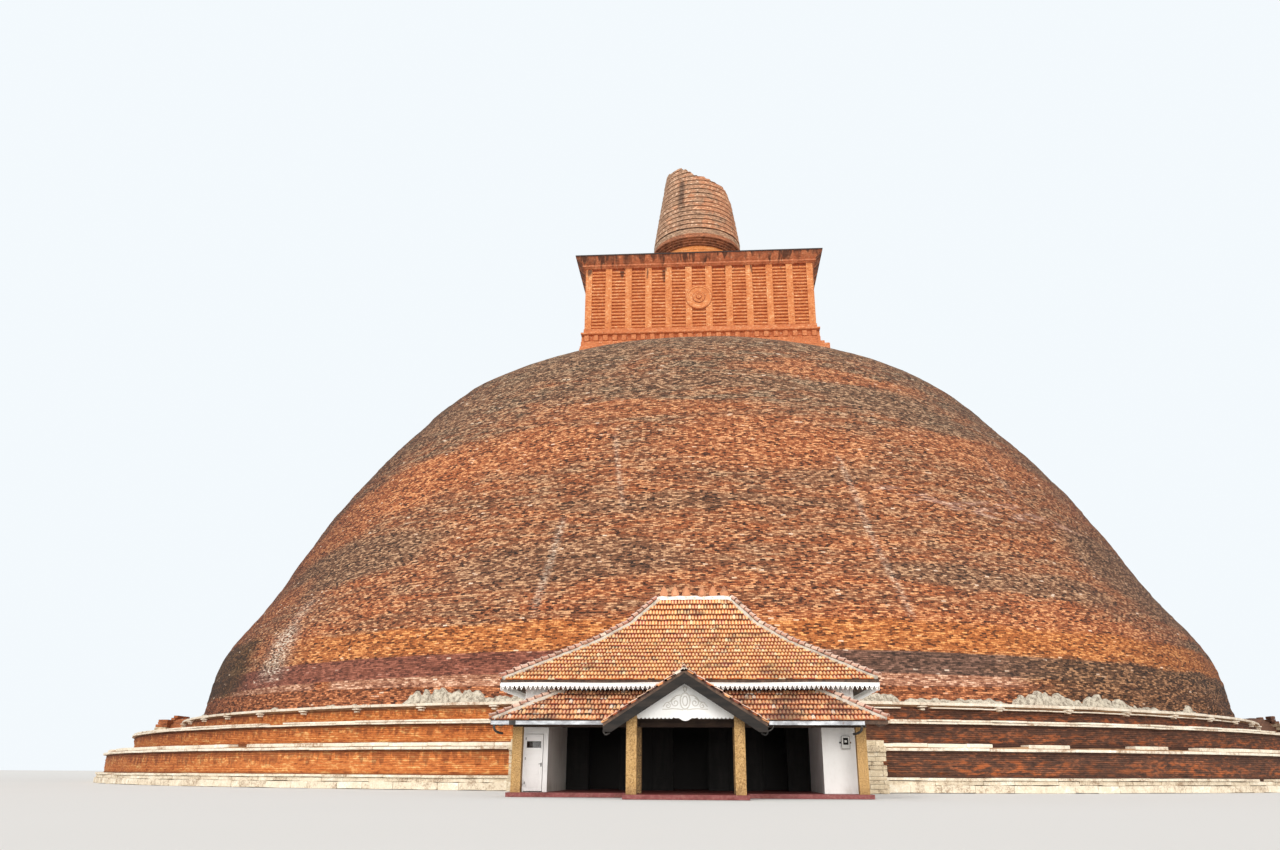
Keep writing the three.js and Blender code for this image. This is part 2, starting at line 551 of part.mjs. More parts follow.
function verandahHeight(y) {
  const rise = (VERANDAH_ROOF.topZ - VERANDAH_ROOF.eaveZ) / (ROOM_LINE - VERANDAH_ROOF.front);
  return VERANDAH_ROOF.eaveZ + (y - VERANDAH_ROOF.front) * rise;
}

// The gable's own outline, down to its eaves, with its top lowered by drop
function gableOutline(drop, foot) {
  const { ridgeZ, eaveZ, half } = PORCH_ROOF;
  return [[PORCH_X - half, eaveZ - drop], [PORCH_X - half, foot], [PORCH_X + half, foot],
    [PORCH_X + half, eaveZ - drop], [PORCH_X, ridgeZ - drop]];
}

function addPorchAndVerandahRoofs() {
  const { halfX, front, eaveZ, topZ, hipX, depth } = VERANDAH_ROOF;
  const back = ROOM_LINE - GAP;
  const inside = alongY(gableOutline(PORCH_ROOF.depth, 0), PORCH_ROOF.front, PORCH_ROOF.back);
  [['left', -1], ['right', 1]].forEach(([side, way]) => {
    const end = SHRINE_X + way * halfX;
    const points = [[PORCH_X + way * GAP, front, eaveZ], [end, front, eaveZ], [end, back, eaveZ],
      [way * hipX, back, topZ], [PORCH_X + way * GAP, back, topZ]];
    const roof = slab(points, [[0, 1, 3, 4], [1, 2, 3]], [0, 1, 2, 3, 4], depth);
    add(`verandah_roof_${side}`, roof.subtract(inside), tile);
  });

  const porch = PORCH_ROOF;
  const shell = alongY(gableOutline(0, porch.eaveZ - 1), porch.front, porch.back).subtract(
    alongY(gableOutline(porch.depth, porch.eaveZ - 2), porch.front - 1, porch.back + 1),
  ).subtract(block(-9, 9, porch.front - 1, porch.back + 1, porch.eaveZ - 3, porch.eaveZ - porch.depth));
  const below = alongX([[front - GAP, 0], [back, 0], [back, verandahHeight(back) + GAP],
    [front - GAP, verandahHeight(front) + GAP]], -halfX, halfX);
  add('porch_roof', shell.subtract(below), tile);

  const boards = alongY(gableOutline(porch.depth + GAP, porch.eaveZ - 1), porch.front,
    porch.front + BARGEBOARD.thick).subtract(
    alongY(gableOutline(porch.depth + BARGEBOARD.depth, porch.eaveZ - 2), porch.front - 1, porch.front + 1),
  ).subtract(block(-9, 9, porch.front - 1, porch.front + 1, 0, porch.eaveZ - porch.depth - BARGEBOARD.depth / 2));
  add('porch_bargeboards', boards, darkTimber);

  const inner = COLUMN.porchHalf - COLUMN.side / 2 - GAP;
  const slope = (porch.ridgeZ - porch.eaveZ) / porch.half;
  const under = porch.ridgeZ - porch.depth - GAP;
  add('gable_board', alongY([
    [PORCH_X - inner, GABLE_BOARD.foot], [PORCH_X + inner, GABLE_BOARD.foot],
    [PORCH_X + inner, under - slope * inner], [PORCH_X, under], [PORCH_X - inner, under - slope * inner],
  ], PORCH_LINE - GABLE_BOARD.thick / 2, PORCH_LINE + GABLE_BOARD.thick / 2), whitePaint);
}

function addGutters() {
  const { size, wall, top } = GUTTER;
  const y = VERANDAH_ROOF.front - GAP;
  const section = [[y, top], [y, top - size], [y - size, top - size], [y - size, top], [y - size + wall, top],
    [y - size + wall, top - size + wall], [y - wall, top - size + wall], [y - wall, top]];
  add('gutter_left', alongX(section, ...GUTTER.leftX), zinc);
  add('gutter_right', alongX(section, ...GUTTER.rightX), zinc);
}

addTerraces();
add('dome', domeSolid(), domeBrick);
addTower();
addSpire();
addFrontispieces();
addWalls();
addHallDoors();
addRooms();
addColumns();
addMainRoof();
addPorchAndVerandahRoofs();
addGutters();

export default stupa;
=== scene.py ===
"""The looks of a great brick stupa and of the tiled shrine at its front, as a 1:10 model.

Every size below is a real one in metres, and MODEL turns it into the model's own. Azimuth is
0 at the front, where the shrine stands, and grows towards +X.
"""

import math
from types import SimpleNamespace

import bmesh
import bpy
import numpy as np
from mathutils import Matrix, Vector


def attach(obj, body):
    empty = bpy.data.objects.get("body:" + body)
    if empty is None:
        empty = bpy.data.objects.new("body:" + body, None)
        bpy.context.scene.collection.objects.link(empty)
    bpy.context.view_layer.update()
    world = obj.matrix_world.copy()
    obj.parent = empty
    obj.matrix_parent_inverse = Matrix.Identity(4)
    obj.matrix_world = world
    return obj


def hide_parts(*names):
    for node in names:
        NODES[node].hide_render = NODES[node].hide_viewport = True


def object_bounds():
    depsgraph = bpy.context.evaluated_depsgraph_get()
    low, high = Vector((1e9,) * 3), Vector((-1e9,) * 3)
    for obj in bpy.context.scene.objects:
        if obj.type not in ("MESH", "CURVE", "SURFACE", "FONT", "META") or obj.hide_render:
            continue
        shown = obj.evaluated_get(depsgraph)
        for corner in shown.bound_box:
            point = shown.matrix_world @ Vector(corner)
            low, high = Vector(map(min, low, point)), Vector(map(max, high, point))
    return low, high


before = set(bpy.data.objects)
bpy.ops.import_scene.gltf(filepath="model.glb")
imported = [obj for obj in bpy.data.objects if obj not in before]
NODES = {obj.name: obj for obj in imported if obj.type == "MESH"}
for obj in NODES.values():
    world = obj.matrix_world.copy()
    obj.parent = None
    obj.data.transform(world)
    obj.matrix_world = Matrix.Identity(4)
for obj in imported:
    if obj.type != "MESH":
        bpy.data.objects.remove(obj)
cad_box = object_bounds()
LOWEST, HIGHEST = (np.array(list(corner)) for corner in cad_box)

MODEL = 0.1


# ---------------------------------------------------------------- heaps of corners and faces


class Pile:
    """Corners and faces in real metres, heaped up until they make one piece."""

    def __init__(self):
        self.corners, self.faces, self.looks, self.marks, self.count = [], [], [], [], 0

    def copies(self, corners, faces, look=0, marks=0.0):
        """corners has one row for each copy of the same faces."""
        corners = np.asarray(corners, float)
        number, each = corners.shape[:2]
        first = self.count + each * np.arange(number)[:, None]
        for face in faces:
            self.faces += (np.array(face)[None] + first).tolist()
        self.looks += [look] * (number * len(faces))
        self.corners.append(corners.reshape(-1, 3))
        self.marks.append(np.broadcast_to(marks, (number, each)).ravel())
        self.count += number * each

    def grid_like(self, corners, other):
        """Another pile's faces on new corners."""
        first = self.count
        self.faces += [[first + i for i in face] for face in other.faces]
        self.looks += other.looks
        self.corners.append(corners)
        self.marks += other.marks
        self.count += len(corners)

    def grid(self, corners, look=0, wrap_rows=False, marks=0.0):
        """A sheet of rows by turns, closed round, with flat ends where its rows don't close too."""
        rows, turns = corners.shape[:2]
        i = np.arange(rows if wrap_rows else rows - 1)[:, None]
        j = np.arange(turns)[None]
        up, on = (i + 1) % rows, (j + 1) % turns
        quads = np.stack([i * turns + j, i * turns + on, up * turns + on, up * turns + j], -1)
        faces = (quads.reshape(-1, 4) + self.count).tolist()
        if not wrap_rows:
            last = (rows - 1) * turns + self.count
            faces += [list(range(self.count + turns - 1, self.count - 1, -1)),
                      list(range(last, last + turns))]
        self.faces += faces
        self.looks += [look] * len(faces)
        self.corners.append(corners.reshape(-1, 3))
        self.marks.append(np.broadcast_to(marks, (rows, turns)).ravel())
        self.count += rows * turns


TOUCHING = 2e-6


def piece(pile, name, looks, body="building", stands_for=(), crease=40, mend=False):
    """Makes a heap into a piece in the model's own metres. mend joins the corners that touch."""
    mesh = bpy.data.meshes.new(name)
    corners = np.clip(np.concatenate(pile.corners) * MODEL, LOWEST, HIGHEST)
    mesh.from_pydata(corners.tolist(), [], pile.faces)
    mesh.polygons.foreach_set("material_index", pile.looks)
    marks = np.concatenate(pile.marks)
    if marks.any():
        mesh.attributes.new("mark", "FLOAT", "POINT").data.foreach_set("value", marks.astype(np.float32))
    shaped = bmesh.new()
    shaped.from_mesh(mesh)
    if mend:
        bmesh.ops.remove_doubles(shaped, verts=shaped.verts, dist=TOUCHING)
        bmesh.ops.dissolve_degenerate(shaped, dist=TOUCHING, edges=shaped.edges)
    bmesh.ops.recalc_face_normals(shaped, faces=shaped.faces)
    shaped.to_mesh(mesh)
    shaped.free()
    for look in looks:
        mesh.materials.append(look)
    mesh.polygons.foreach_set("use_smooth", [True] * len(mesh.polygons))
    mesh.set_sharp_from_angle(angle=math.radians(crease))
    made = bpy.data.objects.new(name, mesh)
    bpy.context.scene.collection.objects.link(made)
    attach(made, body)
    if stands_for:
        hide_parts(*stands_for)
    return made


# ---------------------------------------------------------------- shapes


def lumps(x, y, z, size, seed):
    """Smooth random heights from -1 to 1, with one lump to each size."""
    table = np.random.default_rng(seed).uniform(-1, 1, 4096)
    place = np.stack(np.broadcast_arrays(x, y, z), -1) / size
    cell = np.floor(place).astype(int)
    part = place - cell
    part = part * part * (3 - 2 * part)
    total = 0
    for corner in np.ndindex(2, 2, 2):
        share = np.prod(np.where(corner, part, 1 - part), -1)
        i, j, k = np.moveaxis(cell + corner, -1, 0)
        total = total + share * table[(i * 73856093 ^ j * 19349663 ^ k * 83492791) & 4095]
    return total


def smooth_line(points, number):
    """A smooth line through the points, with the number of points asked for."""
    points = np.array(points, float)
    t = np.linspace(0, len(points) - 1, number)
    i = np.clip(t.astype(int), 0, len(points) - 2)
    f = (t - i)[:, None]
    before, here, there, after = (points[np.clip(i + k, 0, len(points) - 1)] for k in (-1, 0, 1, 2))
    v0, v1 = (there - before) / 2, (after - here) / 2
    cubic, square = 2 * here - 2 * there + v0 + v1, 3 * there - 3 * here - 2 * v0 - v1
    return cubic * f**3 + square * f**2 + v0 * f + here


def full_turn(number):
    """The azimuths of a number of points round the upright axis, from the front on."""
    return 2 * math.pi * np.arange(number) / number


def out_at(reach, azimuth):
    """The place in plan at a distance from the axis."""
    return reach * np.sin(azimuth), -reach * np.cos(azimuth)


def turned(rows, turns, swell=0.0, middle=(0.0, 0.0)):
    """A profile of (radius, height) rows carried round the upright axis."""
    rows = np.array(rows, float)
    x, y = out_at(rows[:, :1] + swell + np.zeros((1, turns)), full_turn(turns))
    return np.stack([middle[0] + x, middle[1] + y, rows[:, 1:] + np.zeros((1, turns))], -1)


def spun(points, turn):
    """Points turned about the upright axis."""
    points = np.asarray(points, float)
    x, y, c, s = points[..., 0], points[..., 1], math.cos(turn), math.sin(turn)
    return np.stack([x * c - y * s, x * s + y * c, points[..., 2]], -1)


def squared(rows, middle=(0.0, 0.0), sides=1):
    """A profile of (half width, height) rows carried round a square plan."""
    walk = [(-1, -1), (1, -1), (1, 1), (-1, 1)]
    plan = []
    for k, (ax, ay) in enumerate(walk):
        bx, by = walk[(k + 1) % 4]
        plan += [(ax + (bx - ax) * s / sides, ay + (by - ay) * s / sides) for s in range(sides)]
    plan, rows = np.array(plan), np.array(rows, float)
    flat = rows[:, :1, None] * plan[None] + np.array(middle)
    return np.concatenate([flat, np.broadcast_to(rows[:, 1:, None], flat.shape[:2] + (1,))], -1)


BOX = np.array([(x, y, z) for x in (-1, 1) for y in (-1, 1) for z in (-1, 1)], float)
BOX_FACES = [(0, 1, 3, 2), (4, 6, 7, 5), (0, 4, 5, 1), (2, 3, 7, 6), (0, 2, 6, 4), (1, 5, 7, 3)]


def stone_shape():
    """A block with a middle point on each edge and face, so that it can bulge and wear."""
    corners = [c for c in np.ndindex(3, 3, 3) if c != (1, 1, 1)]
    index = {c: i for i, c in enumerate(corners)}
    faces = []
    for axis in range(3):
        for side in (0, 2):
            for a, b in np.ndindex(2, 2):
                quad = []
                for da, db in ((0, 0), (1, 0), (1, 1), (0, 1)):
                    c = [0, 0, 0]
                    c[axis], c[(axis + 1) % 3], c[(axis + 2) % 3] = side, a + da, b + db
                    quad.append(index[tuple(c)])
                faces.append(quad)
    return np.array(corners, float) - 1, faces


STONE, STONE_FACES = stone_shape()


def turn_and_place(shape, turns, centres):
    """Copies of a shape, each turned by its own angle and set at its own centre."""
    turns = np.broadcast_to(np.asarray(turns, float), (len(shape),))
    c, s = np.cos(turns)[:, None], np.sin(turns)[:, None]
    x, y = shape[..., 0] * c - shape[..., 1] * s, shape[..., 0] * s + shape[..., 1] * c
    return np.stack([x, y, shape[..., 2]], -1) + np.asarray(centres, float)[:, None]


def stones(pile, centres, halves, turns, rng, wear=0.08, round_off=0.22, look=0):
    """Worn blocks: their corners are rounded off and every point is a little out of place."""
    halves = np.broadcast_to(np.asarray(halves, float), (len(centres), 3))
    least = halves.min(1)[:, None, None]
    edge = np.abs(STONE).sum(1)[None, :, None]
    shape = STONE[None] * halves[:, None]
    shape = shape - np.sign(STONE)[None] * least * round_off * np.clip(edge - 1, 0, 2) / 2
    shape = shape + rng.normal(0, wear, shape.shape) * least
    marks = rng.uniform(0.05, 1, len(centres))[:, None]
    pile.copies(turn_and_place(shape, turns, centres), STONE_FACES, look, marks)


def boxes(pile, lows, highs, look=0, turns=0.0, middle=(0, 0, 0)):
    """Plain blocks from their lowest to their highest corners, turned together about a point."""
    lows, highs = np.atleast_2d(np.array(lows, float)), np.atleast_2d(np.array(highs, float))
    shape = (lows[:, None] + highs[:, None]) / 2 + BOX[None] * (highs - lows)[:, None] / 2
    pile.copies(turn_and_place(shape, turns, np.broadcast_to(middle, (len(lows), 3))), BOX_FACES, look)


def chamfered(pile, low, high, edge, look=0):
    """One block with its four upright and its top and bottom edges cut off."""
    low, high = np.array(low, float), np.array(high, float)
    rows = []
    for z, inset in ((low[2], edge), (low[2] + edge, 0), (high[2] - edge, 0), (high[2], edge)):
        x0, x1, y0, y1 = low[0] + inset, high[0] - inset, low[1] + inset, high[1] - inset
        rows.append([(x0 + edge, y0, z), (x1 - edge, y0, z), (x1, y0 + edge, z), (x1, y1 - edge, z),
                     (x1 - edge, y1, z), (x0 + edge, y1, z), (x0, y1 - edge, z), (x0, y0 + edge, z)])
    pile.grid(np.array(rows), look)


def prism(pile, outline, low, high, axes="xzy", look=0, rim=0.0, marks=0.0):
    """An outline carried from low to high; axes says where its own two lines and its depth point."""
    outline = np.array(outline, float)
    order = [axes.index(a) for a in "xyz"]
    middle = outline.mean(0)
    layers = [(low, rim), (low + rim, 0), (high - rim, 0), (high, rim)] if rim else [(low, 0), (high, 0)]
    rows = []
    for depth, inset in layers:
        reach = np.linalg.norm(outline - middle, axis=1, keepdims=True)
        drawn = middle + (outline - middle) * (1 - inset / np.maximum(reach, 4 * inset + 1e-9))
        rows.append(np.column_stack([drawn, np.full(len(outline), depth)])[:, order])
    pile.grid(np.array(rows), look, marks=marks)


def measured(path):
    """A path's points, and how far along it each of them is."""
    path = np.array(path, float)
    legs = np.linalg.norm(np.diff(path, axis=0), axis=1)
    return path, np.concatenate([[0], np.cumsum(legs)])


def points_at(path, reach, places):
    """The points that are so far along a measured path."""
    return np.column_stack([np.interp(places, reach, path[:, axis]) for axis in range(3)])


def rail(pile, path, section, look=0, scales=None, sky=(0, 0, 1), marks=0.0, swell=None):
    """A section of (side, up) points carried along a path."""
    path, section, sky = np.array(path, float), np.array(section, float), np.array(sky, float)
    along = np.gradient(path, axis=0)
    along /= np.linalg.norm(along, axis=1, keepdims=True)
    side = np.cross(along, sky)
    side /= np.linalg.norm(side, axis=1, keepdims=True)
    up = np.cross(side, along)
    scales = np.ones(len(path)) if scales is None else np.array(scales, float)
    drawn = section[None] * scales[:, None, None]
    if swell is not None:
        drawn = drawn * (1 + swell[..., None])
    pile.grid(path[:, None] + side[:, None] * drawn[..., :1] + up[:, None] * drawn[..., 1:], look,
              marks=marks)


def circle(radius, number):
    """The section of a rod, for rail."""
    angles = np.radians(np.arange(number) * 360.0 / number)
    return np.column_stack([radius * np.cos(angles), radius * np.sin(angles)])


# ---------------------------------------------------------------- finishes: nodes and shared effects


def paint(red, green, blue):
    """A colour as seen on screen, turned into the one that a shader takes."""
    parts = [c / 255 for c in (red, green, blue)]
    return (*(c / 12.92 if c <= 0.04045 else ((c + 0.055) / 1.055) ** 2.4 for c in parts), 1.0)


class Wire:
    """A value on its way through a shader. The sums that are written with it become Math nodes."""

    def __init__(self, socket):
        self.socket, self.tree = socket, socket.id_data

    def __add__(self, other):
        return maths("ADD", self, other)

    def __radd__(self, other):
        return maths("ADD", other, self)

    def __sub__(self, other):
        return maths("SUBTRACT", self, other)

    def __rsub__(self, other):
        return maths("SUBTRACT", other, self)

    def __mul__(self, other):
        return maths("MULTIPLY", self, other)

    def __rmul__(self, other):
        return maths("MULTIPLY", other, self)

    def __truediv__(self, other):
        return maths("DIVIDE", self, other)

    def __rtruediv__(self, other):
        return maths("DIVIDE", other, self)

    def __abs__(self):
        return maths("ABSOLUTE", self)


def feed(socket, value):
    """A wire is linked to the socket and another value is set. A colour of three parts is painted."""
    if isinstance(value, Wire):
        value.tree.links.new(value.socket, socket)
    elif value is not None:
        socket.default_value = paint(*value) if socket.type == "RGBA" and len(value) == 3 else value


def put(kind, *values, tree=None, give=0, settings=None, **named):
    """A node with its settings and its inputs, by place or by name. It gives one output, or all for None."""
    if tree is None:
        tree = next(v.tree for v in (*values, *named.values()) if isinstance(v, Wire))
    node = tree.nodes.new("ShaderNode" + kind)
    for name, value in (settings or {}).items():
        setattr(node, name, value)
    for i, value in enumerate(values):
        feed(node.inputs[i], value)
    for name, value in named.items():
        feed(node.inputs[name.replace("_", " ")], value)
    return [Wire(s) for s in node.outputs] if give is None else Wire(node.outputs[give])


def maths(operation, *values):
    return put("Math", *values, settings={"operation": operation})


def vectors(operation, *values, **named):
    return put("VectorMath", *values, settings={"operation": operation}, **named)


def noise(place, scale=1.0, detail=2.0, roughness=0.5, flat=False, give=0):
    settings = {"noise_dimensions": "2D"} if flat else None
    return put("TexNoise", give=give, settings=settings, Vector=place, Scale=scale, Detail=detail,
               Roughness=roughness)


def step(value, low, high):
    """0 below low, 1 above high and smooth between them."""
    return put("MapRange", value, low, high, settings={"interpolation_type": "SMOOTHSTEP"})


def tint(share, under, over, way="MIX"):
    """One colour over another. A Mix node has its two colours in its seventh and eighth inputs."""
    return put("Mix", share, *[None] * 5, under, over, give=2,
               settings={"data_type": "RGBA", "blend_type": way})


def effect(name, gives, **takes):
    """Turns a function into a shared effect: a node group with named inputs, their values, and outputs."""
    group = bpy.data.node_groups.new(name, "ShaderNodeTree")
    for label, value in takes.items():
        kind = "Float" if isinstance(value, float) else "Vector" if len(value) == 3 else "Color"
        socket = group.interface.new_socket(name=label.capitalize(), in_out="INPUT",
                                            socket_type="NodeSocket" + kind)
        socket.default_value = value
    for label in gives.split():
        kind = {"Face": "Vector", "Color": "Color"}.get(label, "Float")
        group.interface.new_socket(name=label, in_out="OUTPUT", socket_type="NodeSocket" + kind)

    def placed(*values, **named):
        """The effect in a material, with its own values. It gives its outputs by name, or its only one."""
        named = {label.capitalize(): value for label, value in named.items()}
        outputs = put("Group", *values, give=None, settings={"node_tree": group}, **named)
        if len(outputs) == 1:
            return outputs[0]
        return SimpleNamespace(**{wire.socket.name.lower(): wire for wire in outputs})

    def make(build):
        entry, out = group.nodes.new("NodeGroupInput"), group.nodes.new("NodeGroupOutput")
        for socket, made in zip(out.inputs, build(*(Wire(s) for s in entry.outputs if s.name))):
            feed(socket, made)
        return placed

    return make


@effect("wall face", "Face Height Azimuth", place=(0, 0, 0), facing=(0, 0, 1), radius=0.0)
def wall_face(place, facing, radius):
    """Real metres along and up a wall, round where it has a radius, and a point's height and azimuth."""
    x, y, z = put("SeparateXYZ", place, give=None)
    nx, ny, _ = put("SeparateXYZ", facing, give=None)
    angle = maths("ARCTAN2", x, y * -1.0)
    side_on = maths("GREATER_THAN", abs(nx), abs(ny))
    flat = y * side_on + x * (1.0 - side_on)
    is_round = maths("GREATER_THAN", radius, 0.01)
    across = angle * radius + flat * (1 / MODEL) * (1.0 - is_round)
    height = z * (1 / MODEL)
    return put("CombineXYZ", across, height, 0.0), height, angle * (180 / math.pi)


@effect("brickwork", "Tone Joint Relief", face=(0, 0, 0), length=0.45, course=0.085, joint=0.012,
        unevenness=0.05)
def brickwork(face, length, course, joint, unevenness):
    """Courses that waver a little: each brick's own tone, the joints, and how far out all of it stands."""
    wander = noise(face, 1.6, flat=True, give="Color")
    wander = vectors("SCALE", vectors("SUBTRACT", wander, (0.5, 0.5, 0.5)), Scale=unevenness)
    laid = vectors("ADD", face, wander)
    tones, mortar = put("TexBrick", give=None, settings={"offset": 0.5}, Vector=laid, Color1=(0, 0, 0, 1),
                        Color2=(1, 1, 1, 1), Mortar=(0.5, 0.5, 0.5, 1), Scale=1.0, Mortar_Size=joint,
                        Mortar_Smooth=0.4, Brick_Width=length, Row_Height=course)
    grit = noise(laid, 14.0, 3.0, flat=True)
    tone = put("SeparateColor", tones)
    relief = (1.0 - mortar) * (tone * 0.35 + 0.65)
    return tone, mortar, relief + grit * 0.35


@effect("weather patches", "Mask Cloud", face=(0, 0, 0), size=2.0, stretch=1.0, amount=0.5, softness=0.08,
        seed=0.0)
def patches(face, size, stretch, amount, softness, seed):
    """Ragged patches over a share of the face, and the cloud that they are cut from."""
    squeeze = put("CombineXYZ", 1.0 / (size * stretch), 1.0 / size, 1.0 / size)
    place = vectors("MULTIPLY", face, squeeze)
    place = vectors("ADD", place, put("CombineXYZ", seed, seed * 1.7, seed))
    cloud = noise(place, 1.0, 6.0, 0.62)
    level = 0.72 - amount * 0.44
    return step(cloud, level - softness, level + softness), cloud


@effect("run-off streaks", "Mask", face=(0, 0, 0), edge=1.0, length=1.0, spacing=0.4, amount=0.5, seed=0.0)
def run_off(face, edge, length, spacing, amount, seed):
    """What water has carried down from an edge, in streaks that fade."""
    across, height, _ = put("SeparateXYZ", face, give=None)
    drop = (edge - height) / length
    drips = noise(put("CombineXYZ", across / spacing, drop * 0.6, seed), 1.0, 3.0, 0.6)
    fade = step(drop, 1.0, 0.0) * step(drop, -0.02, 0.02)
    reach = drips + (fade - 0.6) * 0.3
    level = 0.75 - amount * 0.45
    return [step(reach, level, level + 0.1) * step(fade, 0.0, 0.35)]


@effect("height band", "Mask", height=0.0, low=0.0, high=1.0, softness=0.1, cloud=0.5)
def height_band(height, low, high, softness, cloud):
    wavy = height + (cloud - 0.5) * (softness * 5.0)
    above = step(wavy, low - softness, low + softness)
    below = step(wavy, high + softness, high - softness)
    return [above * below]


@effect("three tones", "Color", tone=0.5, dark=(0, 0, 0, 1), middle=(0.5, 0.5, 0.5, 1), light=(1, 1, 1, 1))
def three_tones(tone, dark, middle, light):
    first = tint(step(tone, 0.0, 0.5), dark, middle)
    return [tint(step(tone, 0.5, 1.0), first, light)]


@effect("grime", "Mask Cloud", place=(0, 0, 0), size=0.1, seed=0.0, foot=0.0, head=9.0)
def grime(place, size, seed, foot, head):
    """Dirt in clouds, and thicker near the foot and the head."""
    _, _, z = put("SeparateXYZ", place, give=None)
    shifted = vectors("MULTIPLY_ADD", place, (1, 1, 0.45), put("CombineXYZ", seed, seed, seed))
    cloud = noise(shifted, 1.0 / size, 7.0, 0.65)
    low = step(z, foot + 0.045, foot)
    high = step(z, head - 0.06, head)
    share = step(cloud, 0.45, 0.75) * 0.7 + maths("MAXIMUM", low, high) * step(cloud, 0.3, 0.65)
    return maths("MINIMUM", share, 1.0), cloud


@effect("timber grain", "Fibres", place=(0, 0, 0), stretch=(1, 1, 1), size=0.01)
def grain(place, stretch, size):
    return [noise(vectors("MULTIPLY", place, stretch), 1.0 / size, 5.0, 0.6)]


class Finish:
    """A material in the making: its tree, its shader, and where on the object each point is."""

    def __init__(self, name, roughness=0.9, metallic=0.0):
        self.material = bpy.data.materials.new(name)
        self.material.use_nodes = True
        self.tree = self.material.node_tree
        self.shader = self.tree.nodes["Principled BSDF"]
        self.shader.inputs["Roughness"].default_value = roughness
        self.shader.inputs["Metallic"].default_value = metallic
        self.place = put("TexCoord", tree=self.tree, give="Object")
        self.facing = put("NewGeometry", tree=self.tree, give="True Normal")

    def wall(self, radius=0.0):
        return wall_face(self.place, self.facing, radius)

    def mark(self):
        """What the piece's own mesh says about each point, from 0 to 1."""
        return put("Attribute", tree=self.tree, give="Fac", settings={"attribute_name": "mark"})

    def done(self, colour, relief=None, depth=0.001, roughness=None):
        feed(self.shader.inputs["Base Color"], colour)
        feed(self.shader.inputs["Roughness"], roughness)
        if relief is not None:
            feed(self.shader.inputs["Normal"], put("Bump", Strength=1.0, Distance=depth, Height=relief))
        return self.material


# Pale streaks: azimuth, how far it leans with height, half width, lowest and highest point, strength
STREAKS = ((-39.6, 0.0, 3.4, 6.9, 10.4, 0.9), (-39.6, 0.0, 2.0, 9.5, 12.6, 0.5),
           (-12.3, 0.0, 0.6, 10.0, 16.8, 0.55), (-0.6, -0.345, 0.5, 17.5, 24.0, 0.35),
           (17.25, -0.095, 0.6, 9.5, 22.0, 0.4), (36.5, 0.0, 0.8, 20.0, 24.0, 0.3))
# Stains: azimuth, height, half width in degrees, half height, how far they lean, strength
GREY_STAINS = ((-43, 29, 16, 3.2, 0.15, 0.75), (-22, 33.5, 16, 2.6, 0.05, 0.85),
               (-38, 15.5, 14, 2.2, 0.06, 0.8), (0, 17.8, 16, 0.6, 0.0, 0.7), (-11, 13.5, 12, 1.8, 0.0, 0.7),
               (26, 28.5, 14, 2.4, -0.12, 0.85), (52, 15, 12, 4.0, -0.1, 0.8), (28, 12.6, 14, 1.2, 0.0, 0.75),
               (0, 29.4, 34, 0.9, 0.0, 0.8), (0, 38.2, 90, 4.6, 0.0, 0.8), (52, 8.2, 16, 1.8, -0.03, 0.9),
               (14, 20.5, 6, 1.2, 0.0, 0.65))
ORANGE_STAINS = ((-37, 22, 14, 2.4, 0.06, 0.95), (-20, 23.5, 10, 2.0, 0.0, 0.75),
                 (-48, 19, 10, 1.8, 0.08, 0.8), (24, 9.6, 22, 1.0, 0.0, 0.8), (8, 23.2, 12, 2.2, 0.0, 0.7),
                 (20, 31.5, 14, 1.0, -0.05, 0.7), (36, 24, 12, 1.6, -0.05, 0.7), (-52, 13, 8, 1.4, 0.1, 0.7),
                 (-6, 26.8, 16, 0.9, 0.0, 0.6))
STORE_HINGE, SHRINE_FRONT = -6.378, -64.2


# ---------------------------------------------------------------- finishes: the stupa


